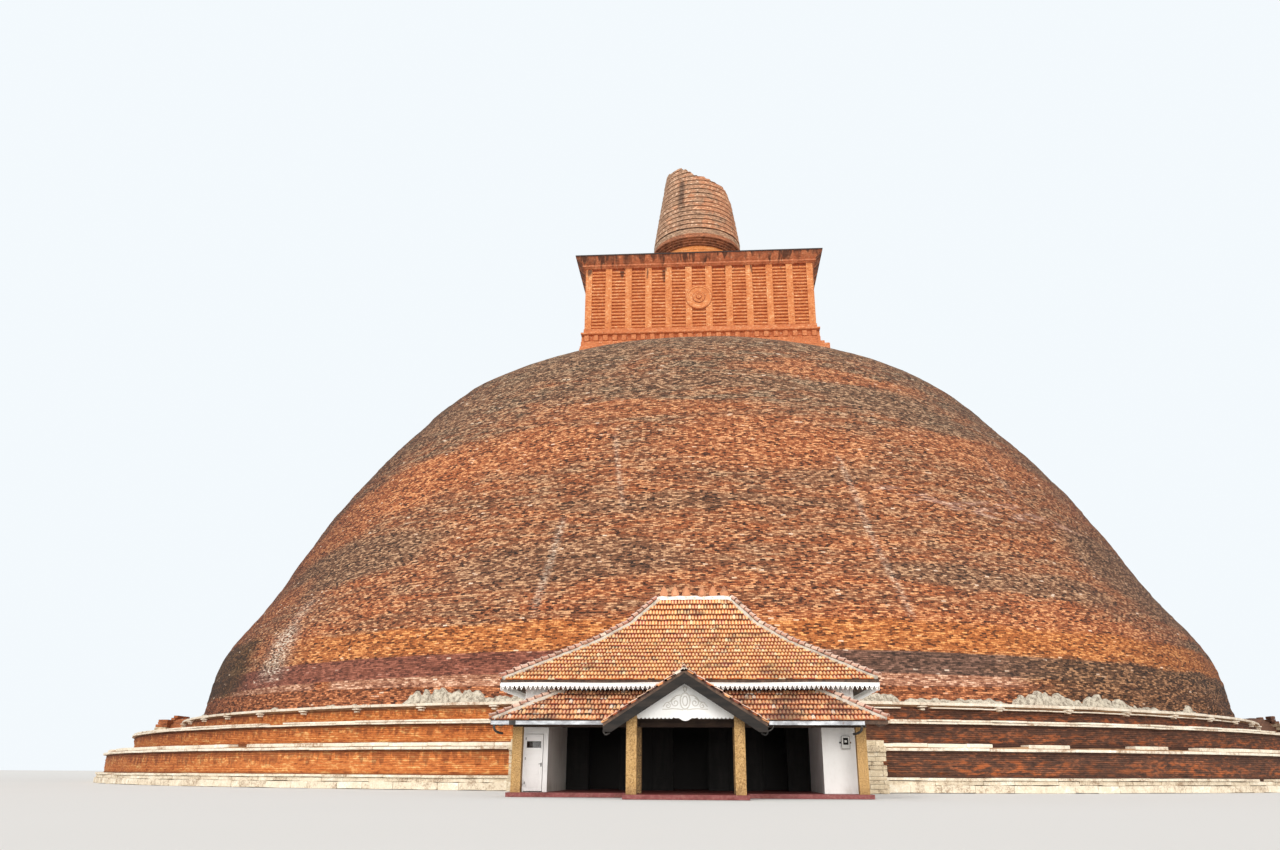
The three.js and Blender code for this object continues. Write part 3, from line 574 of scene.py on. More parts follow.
def dome_brickwork():
    """Weathered brick: strata of orange and of grey-brown courses, coloured bands round the foot, and painted
    shade towards its sides.
    """
    f = Finish("dome_brickwork", 0.95)
    x, y, _ = put("SeparateXYZ", f.place, give=None)
    reach = maths("SQRT", x * x + y * y)
    snapped = maths("FLOOR", reach / 0.6) * 6.0 + 3.0
    wall = f.wall(snapped)
    height, azimuth, face = wall.height, wall.azimuth, f.wall(45.0).face
    bricks = brickwork(wall.face, length=0.32, course=0.11, joint=0.008, unevenness=0.04)
    fine = patches(face, size=0.09, stretch=3.6, softness=0.12, seed=3.0)
    mid = patches(face, size=0.45, stretch=6.0, softness=0.12, seed=11.0)
    wide = patches(face, size=2.2, stretch=4.5, softness=0.12, seed=23.0)
    tone = bricks.tone * 0.5 + fine.mask * 0.34 + mid.mask * 0.16
    tone = (tone - 0.5) * 1.45 + 0.5

    def tones(dark, middle, light):
        return three_tones(tone, dark, middle, light)

    def between(low, top, soft):
        return height_band(height, low, top, soft, mid.cloud)

    def stained(places):
        """The strongest of some soft, ragged ovals on the dome."""
        total = None
        for turn, rise, wide_by, high_by, lean, share in places:
            off = (azimuth - float(turn)) / float(wide_by)
            level = height - float(rise) - (azimuth - float(turn)) * lean
            level = (level + (wide.cloud - 0.5) * 4.0) / float(high_by)
            far = off * off + level * level
            one = step(far, 1.8, 0.5) * share
            total = one if total is None else maths("MAXIMUM", total, one)
        return total

    rust = tones((54, 32, 22), (172, 92, 50), (250, 178, 120))
    drab = tones((28, 22, 17), (102, 78, 58), (202, 166, 132))
    strata = wide.mask * 0.32 + mid.mask * 0.42 + step(height, 14.0, 34.0) * 0.42
    drabness = maths("MINIMUM", maths("MAXIMUM", strata, stained(GREY_STAINS)), 1.0)
    drabness = drabness * (1.0 - stained(ORANGE_STAINS))
    colour = tint(drabness, rust, drab)
    off_left = azimuth * -1.0
    banded = step(abs(azimuth), 165.0, 115.0)
    orange = tones((84, 46, 24), (190, 108, 52), (250, 174, 102))
    band = between(7.6, 9.4, 0.2) * banded * step(off_left, 44.0, 30.0)
    colour = tint(band * 0.85, colour, orange)
    purple = tint(step(azimuth, -8.0, 16.0), tones((80, 44, 36), (134, 78, 60), (176, 110, 88)),
                  tones((54, 40, 34), (102, 74, 60), (150, 112, 94)))
    bare = step(azimuth + wide.cloud * 14.0, 54.0, 30.0)
    colour = tint(between(6.28, 7.58, 0.035) * bare * banded, colour, purple)
    colour = tint(between(2.0, 5.9, 0.08), colour, tones((64, 38, 28), (152, 86, 52), (234, 156, 106)))
    dark_foot = between(2.0, 7.6, 0.3) * step(azimuth + mid.cloud * 12.0, 26.0, 36.0)
    colour = tint(dark_foot * banded * 0.85, colour, tones((34, 25, 18), (98, 68, 46), (196, 146, 104)))
    pink_foot = abs(azimuth) * 0.012 + 5.42
    whole = step(azimuth, 26.0, 22.5) * step(off_left, 49.0, 46.0)
    gap = step(abs(azimuth + 31.4), 0.7, 1.5)
    pink = between(pink_foot, 6.28, 0.035) * (whole * gap)
    colour = tint(pink * 0.9, colour, tones((120, 72, 54), (188, 132, 102), (250, 206, 176)))
    olive = step(off_left + fine.cloud * 4.0, 46.0, 50.0) * between(6.2, 10.2, 0.25)
    colour = tint(olive * banded * 0.78, colour, tones((36, 30, 18), (70, 56, 32), (120, 92, 54)))
    # Painted shade: the brick is darkened towards the dome's left and right sides, as they turn away.
    painted_side_shade = maths("MINIMUM", step(azimuth, 24.0, 70.0) + step(off_left, 30.0, 60.0), 1.0)
    colour = tint(painted_side_shade * 0.8, colour, tint(1.0, colour, (158, 140, 130), "MULTIPLY"))
    for turn, lean, spread, low, top, share in STREAKS:
        line = height * lean + turn
        side = abs(azimuth - line)
        near = step(side + fine.cloud * spread, spread * 1.6, spread * 0.5)
        pale = near * between(low, top, 0.4) * step(fine.cloud, 0.42, 0.58)
        colour = tint(pale * share, colour, tones((140, 120, 104), (200, 180, 158), (248, 238, 220)))
    pinkish = stained(((31, 18.75, 13, 0.5, -0.015, 0.5),)) * step(mid.cloud, 0.45, 0.6)
    colour = tint(pinkish, colour, tones((150, 106, 90), (208, 160, 142), (244, 206, 188)))
    chips = step(bricks.tone, 0.975, 0.985) * step(mid.cloud, 0.5, 0.62)
    colour = tint(chips * 0.7, colour, (244, 222, 200))
    colour = tint(bricks.joint * 0.3, colour, (54, 38, 30))
    relief = bricks.relief + fine.cloud * 0.9
    return f.done(colour, relief, 0.005)


def terrace_brickwork(name, foot, edge, seed):
    """Orange brick on the left of the front, blackened on the right, with dark run-off under the coping."""
    f = Finish(name, 0.93)
    wall = f.wall(52.0)
    height, azimuth = wall.height, wall.azimuth
    bricks = brickwork(wall.face, length=0.42, course=0.085, joint=0.008, unevenness=0.04)
    fine = patches(wall.face, size=0.13, stretch=2.4, softness=0.14, seed=seed)
    mid = patches(wall.face, size=0.5, stretch=2.6, softness=0.12, seed=seed + 3)
    wide = patches(wall.face, size=2.4, stretch=1.8, softness=0.18, seed=seed + 5)
    tone = fine.mask * 0.36 + bricks.tone * 0.26 + (mid.mask * 0.26 + wide.mask * 0.12)
    clean = three_tones(tone, (146, 72, 34), (216, 130, 66), (255, 210, 136))
    streaks = run_off(wall.face, edge=edge, length=(edge - foot) * 0.9, spacing=0.3, amount=0.62, seed=seed)
    far_left = step(azimuth, -26.0, -44.0)
    clean = tint(streaks * 0.5 + far_left * 0.3, clean, (116, 56, 32))
    sooty = three_tones(tone, (52, 36, 30), (92, 62, 48), (176, 108, 72))
    bright = patches(wall.face, size=0.22, stretch=3.2, amount=0.4, softness=0.08, seed=seed + 9).mask
    middle_height = (foot + edge) / 2 - 0.16
    near_middle = step(abs(height - middle_height), (edge - foot) * 0.4, (edge - foot) * 0.18)
    there = near_middle * (wide.mask * 0.7 + 0.3)
    sooty = tint(bright * there * 0.8, sooty, (212, 116, 58))
    dark_side = step(azimuth + wide.cloud * 8.0, 8.0, 14.0)
    colour = tint(dark_side, clean, sooty)
    # Painted shade: a dark band just under the overhanging coping and another in the crease at the wall's
    # foot.
    painted_edge_shade = maths("MAXIMUM", step(height, edge - 0.14, edge - 0.05), step(height, foot + 0.14, foot + 0.02))
    colour = tint(painted_edge_shade * 0.6, colour, (70, 42, 32))
    colour = tint(bricks.joint * 0.3, colour, (120, 76, 54))
    return f.done(colour, bricks.relief, 0.0022)


def old_stone(name, light, middle, dark, size, seed):
    """Weathered pale stone. mark sets each block's own tone."""
    f = Finish(name, 0.9)
    fine = patches(f.place, size=size * MODEL, softness=0.2, seed=seed)
    small = patches(f.place, size=size * MODEL * 0.16, amount=0.45, softness=0.16, seed=seed + 4)
    tone = fine.mask * 0.4 + f.mark() * 0.3 + small.mask * 0.3
    colour = three_tones(tone, dark, middle, light)
    relief = small.cloud + fine.cloud * 0.8
    return f.done(colour, relief, 0.003)


def tower_brick(name, dark, middle, light, edge=None, black=0.5, seed=0.0, across=0.9, patchy=0.0):
    """Bright orange brick, with black run-off below the cornice where edge is given."""
    f = Finish(name, 0.9)
    wall = f.wall(0.0)
    bricks = brickwork(wall.face, length=0.42, course=0.09, joint=0.01, unevenness=0.04)
    fine = patches(wall.face, size=0.16, stretch=1.6, softness=0.14, seed=seed)
    mid = patches(wall.face, size=0.6, stretch=1.3, softness=0.16, seed=seed + 3)
    wide = patches(wall.face, size=2.2, stretch=0.8, softness=0.2, seed=seed + 5)
    tone = fine.mask * 0.34 + bricks.tone * 0.24 + (mid.mask * 0.2 + wide.mask * 0.22)
    colour = three_tones(tone, dark, middle, light)
    mortar = patches(wall.face, size=0.3, stretch=0.8, amount=0.2, softness=0.05, seed=seed + 8).mask
    colour = tint(mortar * 0.4, colour, (246, 214, 176))
    if edge is not None:
        top, length = edge
        soot = run_off(wall.face, edge=top, length=length, spacing=across, amount=black, seed=seed + 2)
        if patchy:
            soot = soot * (step(wide.cloud, 0.44, 0.56) * patchy + (1.0 - patchy))
        colour = tint(soot * 0.85, colour, (52, 38, 34))
    colour = tint(bricks.joint * 0.3, colour, (140, 78, 50))
    return f.done(colour, bricks.relief, 0.0018)


def spire_brickwork():
    """Tan and orange rings with painted shade in the grooves between them, and a dark stain on the left of
    the front.
    """
    f = Finish("spire_brickwork", 0.92)
    wall = f.wall(4.6)
    height, azimuth = wall.height, wall.azimuth
    bricks = brickwork(wall.face, length=0.36, course=0.22, joint=0.02, unevenness=0.05)
    fine = patches(wall.face, size=0.2, stretch=1.8, softness=0.16, seed=31.0)
    wide = patches(wall.face, size=1.8, softness=0.16, seed=37.0)
    tone = fine.mask * 0.45 + bricks.tone * 0.35 + wide.mask * 0.2
    tan = three_tones(tone, (96, 70, 54), (182, 140, 110), (250, 214, 184))
    orange = three_tones(tone, (118, 68, 46), (194, 132, 96), (248, 198, 156))
    colour = tint(step(wide.cloud + azimuth * 0.002, 0.46, 0.58), tan, orange)
    grey = height_band(height, 59.95, 60.5, 0.04)
    colour = tint(grey * 0.7, colour, tint(tone, (120, 92, 72), (212, 176, 144)))
    corbels = height_band(height, 58.6, 59.93, 0.02)
    colour = tint(corbels * 0.85, colour, tint(tone, (96, 54, 38), (206, 126, 82)))
    # Painted shade: the grooves between the rings are darkened.
    ringed = maths("FRACT", (height - 60.6) / 0.66)
    painted_groove_shade = step(ringed, 0.18, 0.11) + step(ringed, 0.94, 0.98)
    painted_groove_shade = painted_groove_shade * (step(fine.cloud, 0.34, 0.5) * 0.3 + 0.7)
    colour = tint(painted_groove_shade * step(height, 60.4, 60.6) * 0.9, colour, (46, 32, 26))
    stain_azimuth = -17.0
    side = abs(azimuth - stain_azimuth + fine.cloud * 6.0)
    stain = step(side, 8.5, 1.5) * (step(height, 62.6, 65.4) * 0.75 + 0.25) * step(height, 68.6, 67.6)
    colour = tint(stain * 0.72, colour, (66, 50, 42))
    colour = tint(bricks.joint * 0.4, colour, (96, 66, 52))
    return f.done(colour, bricks.relief, 0.003)


def mound_brickwork(name, dark, middle, light, seed):
    """Loose, worn brick for the frontispieces' cores."""
    f = Finish(name, 0.95)
    wall = f.wall(0.0)
    bricks = brickwork(wall.face, length=0.4, course=0.11, joint=0.02, unevenness=0.12)
    fine = patches(f.place, size=0.07, softness=0.18, seed=seed)
    tone = fine.mask * 0.45 + bricks.tone * 0.3 + f.mark() * 0.25
    colour = three_tones(tone, dark, middle, light)
    colour = tint(bricks.joint * 0.5, colour, (88, 58, 44))
    return f.done(colour, bricks.relief, 0.004)


# ---------------------------------------------------------------- finishes: the shrine


def roof_tile(name, base, odd, dirt, seed, shadow=(104, 46, 28), crest=(255, 226, 166)):
    """Clay tiles in their own tones, with a painted highlight on the crests and painted shadow in the
    channels and under the next row. mark is 1 on a crest, half in a channel and 0 under the next row.
    """
    f = Finish(name, 0.8)
    own = put("NewGeometry", tree=f.tree, give="Random Per Island")
    tone = maths("FRACT", own * 13.7)
    dark, middle, light = base
    colour = three_tones(tone, dark, middle, light)
    pink, brown, cream = odd
    colour = tint(step(own, 0.12, 0.11), colour, pink)
    colour = tint(step(own, 0.9, 0.91), colour, brown)
    colour = tint(step(own, 0.95, 0.96), colour, cream)
    fine = patches(f.place, size=0.012, softness=0.22, seed=seed)
    wide = patches(f.place, size=0.1, stretch=1.6, amount=dirt, softness=0.08, seed=seed + 3)
    colour = tint(fine.mask * 0.35, colour, tint(1.0, colour, (186, 150, 128), "MULTIPLY"))
    # Painted highlight: the crests are turned toward the crest colour.
    lit = step(f.mark(), 0.6, 0.92)
    colour = tint(lit * 0.7, colour, crest)
    colour = tint(wide.mask * 0.7, colour, (88, 62, 50))
    # Painted shadow: the channels and the tile ends under the next row are turned toward the shadow colour.
    channel = step(f.mark(), 0.52, 0.12)
    colour = tint(channel * 0.92, colour, shadow)
    return f.done(colour, fine.cloud, 0.0006)


def hip_mortar(name, light, dark):
    """Lumpy mortar, dirty in patches."""
    f = Finish(name, 0.9)
    dirty = grime(f.place, size=0.03, seed=2.0, foot=-1.0)
    colour = tint(dirty.mask, light, dark)
    return f.done(colour, dirty.cloud, 0.002)


def white_wall(name, light, dirt, strength, foot=0.015, head=9.0, seed=0.0, rough=0.9, shade_inside_hall=False):
    """Whitened plaster or paint. Where asked, its faces inside the hall are painted near black as painted
    shade.
    """
    f = Finish(name, rough)
    dirty = grime(f.place, size=0.09, seed=seed, foot=foot, head=head)
    fine = grime(f.place, size=0.012, seed=seed + 7.0, foot=-1.0)
    colour = tint(dirty.mask * strength, light, dirt)
    colour = tint(fine.mask * (strength * 0.4), colour, dirt)
    if shade_inside_hall:
        # Painted shade: the faces inside the hall are turned near black.
        x, y, _ = put("SeparateXYZ", f.place, give=None)
        within = step(x, -0.632, -0.628) * step(x, 0.608, 0.604)
        within = within * (step(y, -5.912, -5.908) * step(y, -5.508, -5.512))
        colour = tint(within * 0.97, colour, (30, 27, 26))
    relief = fine.cloud + dirty.cloud
    return f.done(colour, relief, 0.0008)


def ochre_rendering(name, light, middle, dark, seed):
    """Speckled ochre rendering on the posts."""
    f = Finish(name, 0.85)
    speck = patches(f.place, size=0.004, softness=0.22, seed=seed)
    cloud = grime(f.place, size=0.05, seed=seed, foot=0.015, head=0.27)
    colour = three_tones(speck.mask, dark, middle, light)
    colour = tint(cloud.mask * 0.5, colour, dark)
    return f.done(colour, speck.cloud, 0.0006)


def painted_floor():
    """Red floor paint, worn through in places."""
    f = Finish("red_plinth_paint", 0.55)
    worn = patches(f.place, size=0.05, stretch=1.5, amount=0.4, softness=0.12, seed=6.0)
    fine = patches(f.place, size=0.008, amount=0.4, softness=0.1, seed=9.0)
    colour = tint(worn.mask * 0.5, (122, 46, 44), (86, 54, 50))
    colour = tint(fine.mask * 0.3, colour, (166, 116, 102))
    rough = 0.45 + worn.mask * 0.35
    return f.done(colour, fine.cloud, 0.0004, rough)


def white_door():
    """White paint with a dirty foot and a stain at its lower left."""
    f = Finish("white_door_paint", 0.45)
    dirty = grime(f.place, size=0.05, seed=11.0, foot=0.017)
    x, _, z = put("SeparateXYZ", f.place, give=None)
    colour = tint(dirty.mask * 0.35, (250, 248, 246), (176, 168, 160))
    corner = (x - STORE_HINGE * MODEL) * 1.6 + (z - 0.018)
    stain = step(corner, 0.05, 0.0) * step(dirty.cloud, 0.4, 0.5)
    colour = tint(stain * 0.85, colour, (44, 42, 42))
    return f.done(colour, dirty.cloud, 0.0006)


def old_timber(name, light, dark, stretch, seed=0.0, roughness=0.85):
    """Timber with its grain, which runs along the direction that stretch makes small."""
    f = Finish(name, roughness)
    fibres = grain(f.place, stretch=stretch, size=0.02)
    worn = patches(f.place, size=0.04, amount=0.4, softness=0.15, seed=seed).mask
    colour = tint(step(fibres, 0.3, 0.7), dark, light)
    colour = tint(worn * 0.5, colour, dark)
    return f.done(colour, fibres, 0.0009)


def zinc_sheet(name, light, dark):
    """Dull sheet metal with a little rust."""
    f = Finish(name, 0.5, 0.35)
    dull = patches(f.place, size=0.03, stretch=2.0, softness=0.2, seed=4.0)
    rust = patches(f.place, size=0.02, amount=0.16, softness=0.06, seed=8.0)
    colour = tint(dull.mask, light, dark)
    colour = tint(rust.mask * 0.6, colour, (140, 96, 66))
    rough = 0.4 + dull.mask * 0.3
    return f.done(colour, dull.cloud, 0.0003, rough)


def dark_pane():
    """Dusty dark glass."""
    f = Finish("dark_window_pane", 0.12)
    dusty = patches(f.place, size=0.012, amount=0.4, softness=0.2, seed=1.0)
    colour = tint(dusty.mask * 0.4, (34, 26, 26), (78, 66, 60))
    rough = 0.08 + dusty.mask * 0.3
    return f.done(colour, None, 0.001, rough)


DOME = dome_brickwork()
TERRACE_BRICK = [terrace_brickwork("terrace_1_brickwork", 0.70, 1.92, 2.0),
                 terrace_brickwork("terrace_2_brickwork", 2.30, 3.26, 14.0),
                 terrace_brickwork("terrace_3_brickwork", 3.51, 4.37, 27.0)]
COPING = old_stone("old_coping_stone", (252, 248, 236), (230, 218, 198), (166, 134, 106), 0.9, seed=2.0)
DECK = old_stone("terrace_deck", (214, 186, 150), (182, 144, 108), (124, 90, 66), 2.5, seed=12.0)
FOOTING = old_stone("footing_stone", (252, 248, 234), (226, 212, 188), (150, 122, 96), 0.5, seed=21.0)
PLASTER_FOOT = old_stone("dome_foot_plaster", (255, 252, 242), (214, 204, 184), (112, 98, 84), 0.22,
                         seed=33.0)
CARVED_STONE = old_stone("carved_stone", (248, 238, 216), (212, 194, 164), (128, 102, 80), 0.3, seed=41.0)
MOUND = {
    "left": mound_brickwork("mound_brick_left", (112, 66, 44), (186, 108, 62), (222, 152, 100), 3.0),
    "right": mound_brickwork("mound_brick_right", (74, 52, 44), (112, 78, 60), (166, 112, 78), 5.0),
}
RAILING = tower_brick("railing_brick", (170, 84, 42), (220, 136, 80), (255, 204, 150), (51.7, 3.4), 0.22, 1.0)
# The slots' backs and the sun discs' rings: the railing's brick painted darker, as painted shade.
RAILING_SLOT_SHADE = tower_brick("railing_slot_painted_shade", (124, 56, 34), (168, 82, 46), (200, 112, 64), None, 0.5, 6.0)
# The back of the base's gap: the base brick painted darker, as painted shade in the recess.
BASE_GAP_SHADE = tower_brick("tower_base_gap_painted_shade", (150, 76, 44), (192, 106, 62), (226, 146, 98), None, 0.5, 21.0)
CORNICE_BRICK = tower_brick("cornice_brick", (150, 84, 56), (200, 120, 80), (238, 170, 124), (52.74, 1.5),
                            0.5, 11.0, 0.75, 0.6)
BASE_BRICK = tower_brick("tower_base_brick", (160, 84, 48), (206, 122, 74), (240, 172, 122), None, 0.5, 17.0)
DRUM_BRICK = tower_brick("drum_brick", (196, 108, 56), (236, 148, 80), (255, 200, 140), None, 0.5, 19.0)
# The cornice's top edge: near-black brick that paints the shade of its underside together with dark
# weathering.
CORNICE_EDGE_SHADE_AND_STAIN = mound_brickwork("cornice_edge_painted_shade_and_stain", (44, 36, 34), (66, 54, 50), (104, 84, 74), 9.0)
SPIRE_BRICK = spire_brickwork()
# The last two colours of each tile finish are its painted shadow, under each row and in the channels, and its
# painted highlight on the crests.
UPPER_TILE = roof_tile("upper_roof_tile", ((190, 92, 44), (226, 132, 66), (250, 182, 112)),
                       ((204, 100, 78), (128, 78, 56), (255, 232, 190)), 0.24, 3.0, (70, 28, 18),
                       (255, 228, 172))
LOWER_TILE = roof_tile("lower_roof_tile", ((150, 70, 38), (218, 122, 66), (255, 202, 142)),
                       ((200, 104, 76), (66, 42, 34), (255, 242, 226)), 0.42, 9.0, (52, 24, 18),
                       (252, 206, 160))
HIP_TILE = roof_tile("hip_tile", ((182, 136, 116), (212, 166, 144), (240, 204, 182)),
                     ((190, 128, 108), (150, 112, 94), (244, 224, 204)), 0.2, 15.0, (84, 54, 44),
                     (240, 208, 188))
RIDGE_TILE = roof_tile("ridge_terracotta", ((164, 100, 66), (190, 122, 82), (210, 148, 106)),
                       ((186, 112, 80), (140, 88, 60), (222, 176, 136)), 0.25, 17.0, (130, 78, 52),
                       (214, 154, 112))
HIP_MORTAR = hip_mortar("hip_mortar", (206, 194, 178), (132, 114, 98))
RIDGE_MORTAR = hip_mortar("ridge_mortar", (244, 240, 230), (176, 162, 146))
BOARDING = old_timber("roof_boarding", (110, 84, 66), (60, 46, 38), (1.0, 0.12, 1.0), 2.0)
BARGE = old_timber("bargeboard_timber", (48, 40, 34), (20, 17, 15), (0.15, 1.0, 1.0), 5.0)
BEAM = old_timber("beam_timber", (84, 66, 54), (46, 36, 30), (0.15, 1.0, 1.0), 8.0)
LEAVES = old_timber("black_leaf_paint", (34, 31, 29), (17, 16, 15), (1.0, 1.0, 0.15), 4.0, 0.9)
LACE = white_wall("lace_board_paint", (246, 245, 242), (196, 188, 176), 0.3, -1.0, 9.0, 1.0, 0.6)
# The scrollwork is the board's white, painted greyer as painted shade on its relief.
SCROLL_SHADE = white_wall("scrollwork_painted_shade", (212, 208, 200), (168, 162, 152), 0.3, -1.0, 9.0, 3.0, 0.6)
# Painted shade inside the hall, on the walls' inner faces.
WALLS = white_wall("white_wall_plaster", (250, 249, 246), (186, 178, 166), 0.35, 0.015, 0.46, 5.0, shade_inside_hall=True)
# The hall's wall is white plaster, painted near black here as painted shade.
INNER_WALL = white_wall("hall_plaster_painted_shade", (20, 18, 17), (13, 12, 11), 0.8, 0.015, 0.3, 8.0)
STORE_SIDE = white_wall("store_side_plaster", (250, 246, 236), (170, 160, 146), 0.5, 0.015, 0.46, 6.0)
DOOR_PAINT = white_door()
METER_PAINT = white_wall("meter_box_paint", (236, 236, 232), (160, 156, 148), 0.4, 0.17, 9.0, 14.0, 0.4)
OCHRE = ochre_rendering("ochre_post", (208, 172, 120), (184, 144, 88), (116, 86, 54), 2.0)
# The inner posts are the same ochre, painted darker as painted shade under the roof.
INNER_OCHRE = ochre_rendering("ochre_inner_post_painted_shade", (176, 142, 92), (134, 104, 64), (78, 60, 42), 7.0)
PLINTH_PAINT = painted_floor()
ZINC = zinc_sheet("zinc_gutter", (204, 208, 212), (140, 140, 144))
DARK_METAL = zinc_sheet("dark_bracket", (74, 70, 66), (40, 38, 36))
PANE = dark_pane()


# ---------------------------------------------------------------- the stupa: dome and terraces

DOME_OUTLINE = [(47.05, 4.37), (46.80, 6.2), (45.85, 10.0), (42.70, 14.9), (39.95, 19.9), (36.91, 24.9),
                (33.09, 30.0), (28.34, 35.3), (23.62, 38.1), (17.90, 40.5)]
DOME_TURNS, DOME_ROWS = 400, 180
TORN_BELOW, BELT = 5.6, (6.1, 7.75)


def make_dome():
    """The dome's uneven brickwork, torn at its foot, with a low belt standing out above the plaster."""
    rows = np.vstack([smooth_line(DOME_OUTLINE, DOME_ROWS), [(10.4, 41.99)]])
    (x, y), z = out_at(rows[:, :1], full_turn(DOME_TURNS)), rows[:, 1:]
    swell = 0.06 * lumps(x, y, z * 2.5, 0.9, 1) + 0.10 * lumps(x, y, z * 2, 3.0, 2)
    swell = swell + 0.12 * lumps(x, y, z, 12.0, 3)
    torn = np.clip((TORN_BELOW - z) / 0.5, 0, 1)
    swell = swell + torn * (0.12 * lumps(x, y, z * 1.5, 0.5, 4) - 0.06)
    swell = swell + 0.06 * ((z > BELT[0]) & (z < BELT[1])) - 0.10
    swell[-1] = 0
    pile = Pile()
    pile.grid(turned(rows, DOME_TURNS, swell))
    piece(pile, "dome_brickwork", [DOME], stands_for=["dome"], crease=60)


def brick_ring(pile, radius, low, high, courses, seed):
    """A solid round of brick whose courses stand out and in a little, with a joint below each."""
    rise = (high - low) / courses
    rows = [(radius - 0.03, low)]
    for k in range(courses):
        foot = low + k * rise
        rows += [(radius - 0.03, foot + 0.003), (radius, foot + 0.018), (radius, foot + rise - 0.008)]
    rows = np.array(rows + [(radius - 0.03, high)])
    course = np.clip(((rows[:, 1:] - low) / rise + 1e-6).astype(int), 0, courses - 1)
    turns = 720
    x, y = out_at(radius, full_turn(turns))
    swell = 0.03 * lumps(x, y, course * 7.0, 0.5, seed) + 0.05 * lumps(x, y, course * 1.5, 5.0, seed + 1)
    lost = lumps(x, y, course * 5.0, 0.8, seed + 2)
    pile.grid(turned(rows, turns, swell - 0.07 * (lost > 0.72) - 0.02))


def ring_stones(pile, rng, inner, outer, low, high, length, gaps=0.0, wear=0.04, round_off=0.12, missing=()):
    """Blocks laid round a terrace's edge. missing has (from, to, share lost) for stretches of azimuth."""
    azimuth, found = 0.0, []
    while azimuth < 2 * math.pi - 0.4 * length / outer:
        size = length * rng.uniform(0.7, 1.3)
        middle = azimuth + size / outer / 2
        degrees = math.degrees(middle + math.pi) % 360 - 180
        lost = rng.uniform() < gaps
        if missing and not lost:
            chance = rng.uniform()
            lost = any(start < degrees < end and chance < share for start, end, share in missing)
        if not lost:
            found.append((middle, size, rng.uniform(-0.03, 0.02), rng.uniform(-0.012, 0.012)))
        azimuth += size / outer
    middle, size, out, up = np.array(found).T
    reach = (inner + outer) / 2 + out
    centres = np.column_stack([*out_at(reach, middle), (low + high) / 2 + up])
    halves = np.column_stack([size / 2 - 0.003, np.full(len(size), (outer - inner) / 2),
                              np.full(len(size), (high - low) / 2)])
    stones(pile, centres, halves, middle, rng, wear, round_off)


def deck(pile, inner, outer, low, high, seed):
    """The floor of a terrace, behind its coping."""
    rows = np.array([(inner, low), (outer, low)] + [(r, high) for r in np.linspace(outer, inner, 6)])
    corners = turned(rows, 256)
    top = slice(2, None)
    corners[top, :, 2] += 0.05 * lumps(corners[top, :, 0], corners[top, :, 1], 0, 1.5, seed)
    pile.grid(corners, 1, wrap_rows=True)


BRACKETS = 63


def make_terraces():
    """The brick rounds, and on each its floor and its coping stones, with the gaps that the front shows."""
    rng = np.random.default_rng(5)
    walls = (("1", 53.35, 0.0, 1.92, 19), ("2", 51.60, 1.92, 3.26, 13), ("3", 48.15, 3.26, 4.37, 11))
    for (number, radius, low, high, courses), look in zip(walls, TERRACE_BRICK):
        pile = Pile()
        brick_ring(pile, radius, low, high, courses, int(number) * 11)
        piece(pile, f"terrace_{number}_brickwork", [look],
              stands_for=[f"terrace_{number}_wall"], crease=30)

    lower = Pile()
    deck(lower, 51.4, 53.2, 1.92, 2.14, 3)
    ring_stones(lower, rng, 52.9, 53.56, 1.93, 2.07, 2.2, 0.005)
    ring_stones(lower, rng, 52.6, 53.28, 2.10, 2.29, 2.0, 0.02,
                missing=((17, 19, 1), (20, 34, 0.45), (40, 180, 0.35), (-31, -29, 1), (-70, -44, 0.3)))
    piece(lower, "terrace_1_coping_stones", [COPING, DECK], stands_for=["terrace_1_coping"])

    upper = Pile()
    deck(upper, 48.0, 51.4, 3.26, 3.38, 4)
    ring_stones(upper, rng, 51.1, 51.82, 3.28, 3.38, 2.3, 0.005)
    ring_stones(upper, rng, 51.1, 51.74, 3.40, 3.50, 1.9, 0.03,
                missing=((-58, -42, 0.35), (-30, -27, 1), (44, 70, 0.4)))
    piece(upper, "terrace_2_coping_stones", [COPING, DECK], stands_for=["terrace_2_coping"])

    top = Pile()
    deck(top, 46.9, 48.1, 4.37, 4.50, 5)
    ring_stones(top, rng, 47.8, 48.36, 4.45, 4.61, 1.8, 0.01)
    ring_stones(top, rng, 47.8, 48.34, 4.26, 4.33, 1.8, 0.02, missing=((-180, 11, 1), (50, 180, 1)))
    azimuth = np.radians(0.6 + 5.714 * (np.arange(BRACKETS) + 0.5))
    for reach, low, high, half in ((48.50, 4.30, 4.42, 0.24), (48.40, 4.16, 4.29, 0.15)):
        centres = np.column_stack([*out_at(reach - 0.3, azimuth), np.full(BRACKETS, (low + high) / 2)])
        stones(top, centres, (half, 0.3, (high - low) / 2), azimuth, rng, 0.14, 0.5)
    piece(top, "terrace_3_coping_stones", [COPING, DECK], stands_for=["terrace_3_coping"])

    footing = Pile()
    ring_stones(footing, rng, 53.0, 53.92, 0.0, 0.36, 1.6, 0.0, 0.05, 0.08)
    ring_stones(footing, rng, 53.0, 53.80, 0.36, 0.56, 1.3, 0.01, 0.08, 0.1)
    ring_stones(footing, rng, 53.0, 53.90, 0.57, 0.70, 1.9, 0.02, 0.05, 0.1)
    piece(footing, "footing_stones", [FOOTING], stands_for=["footing_ring"])


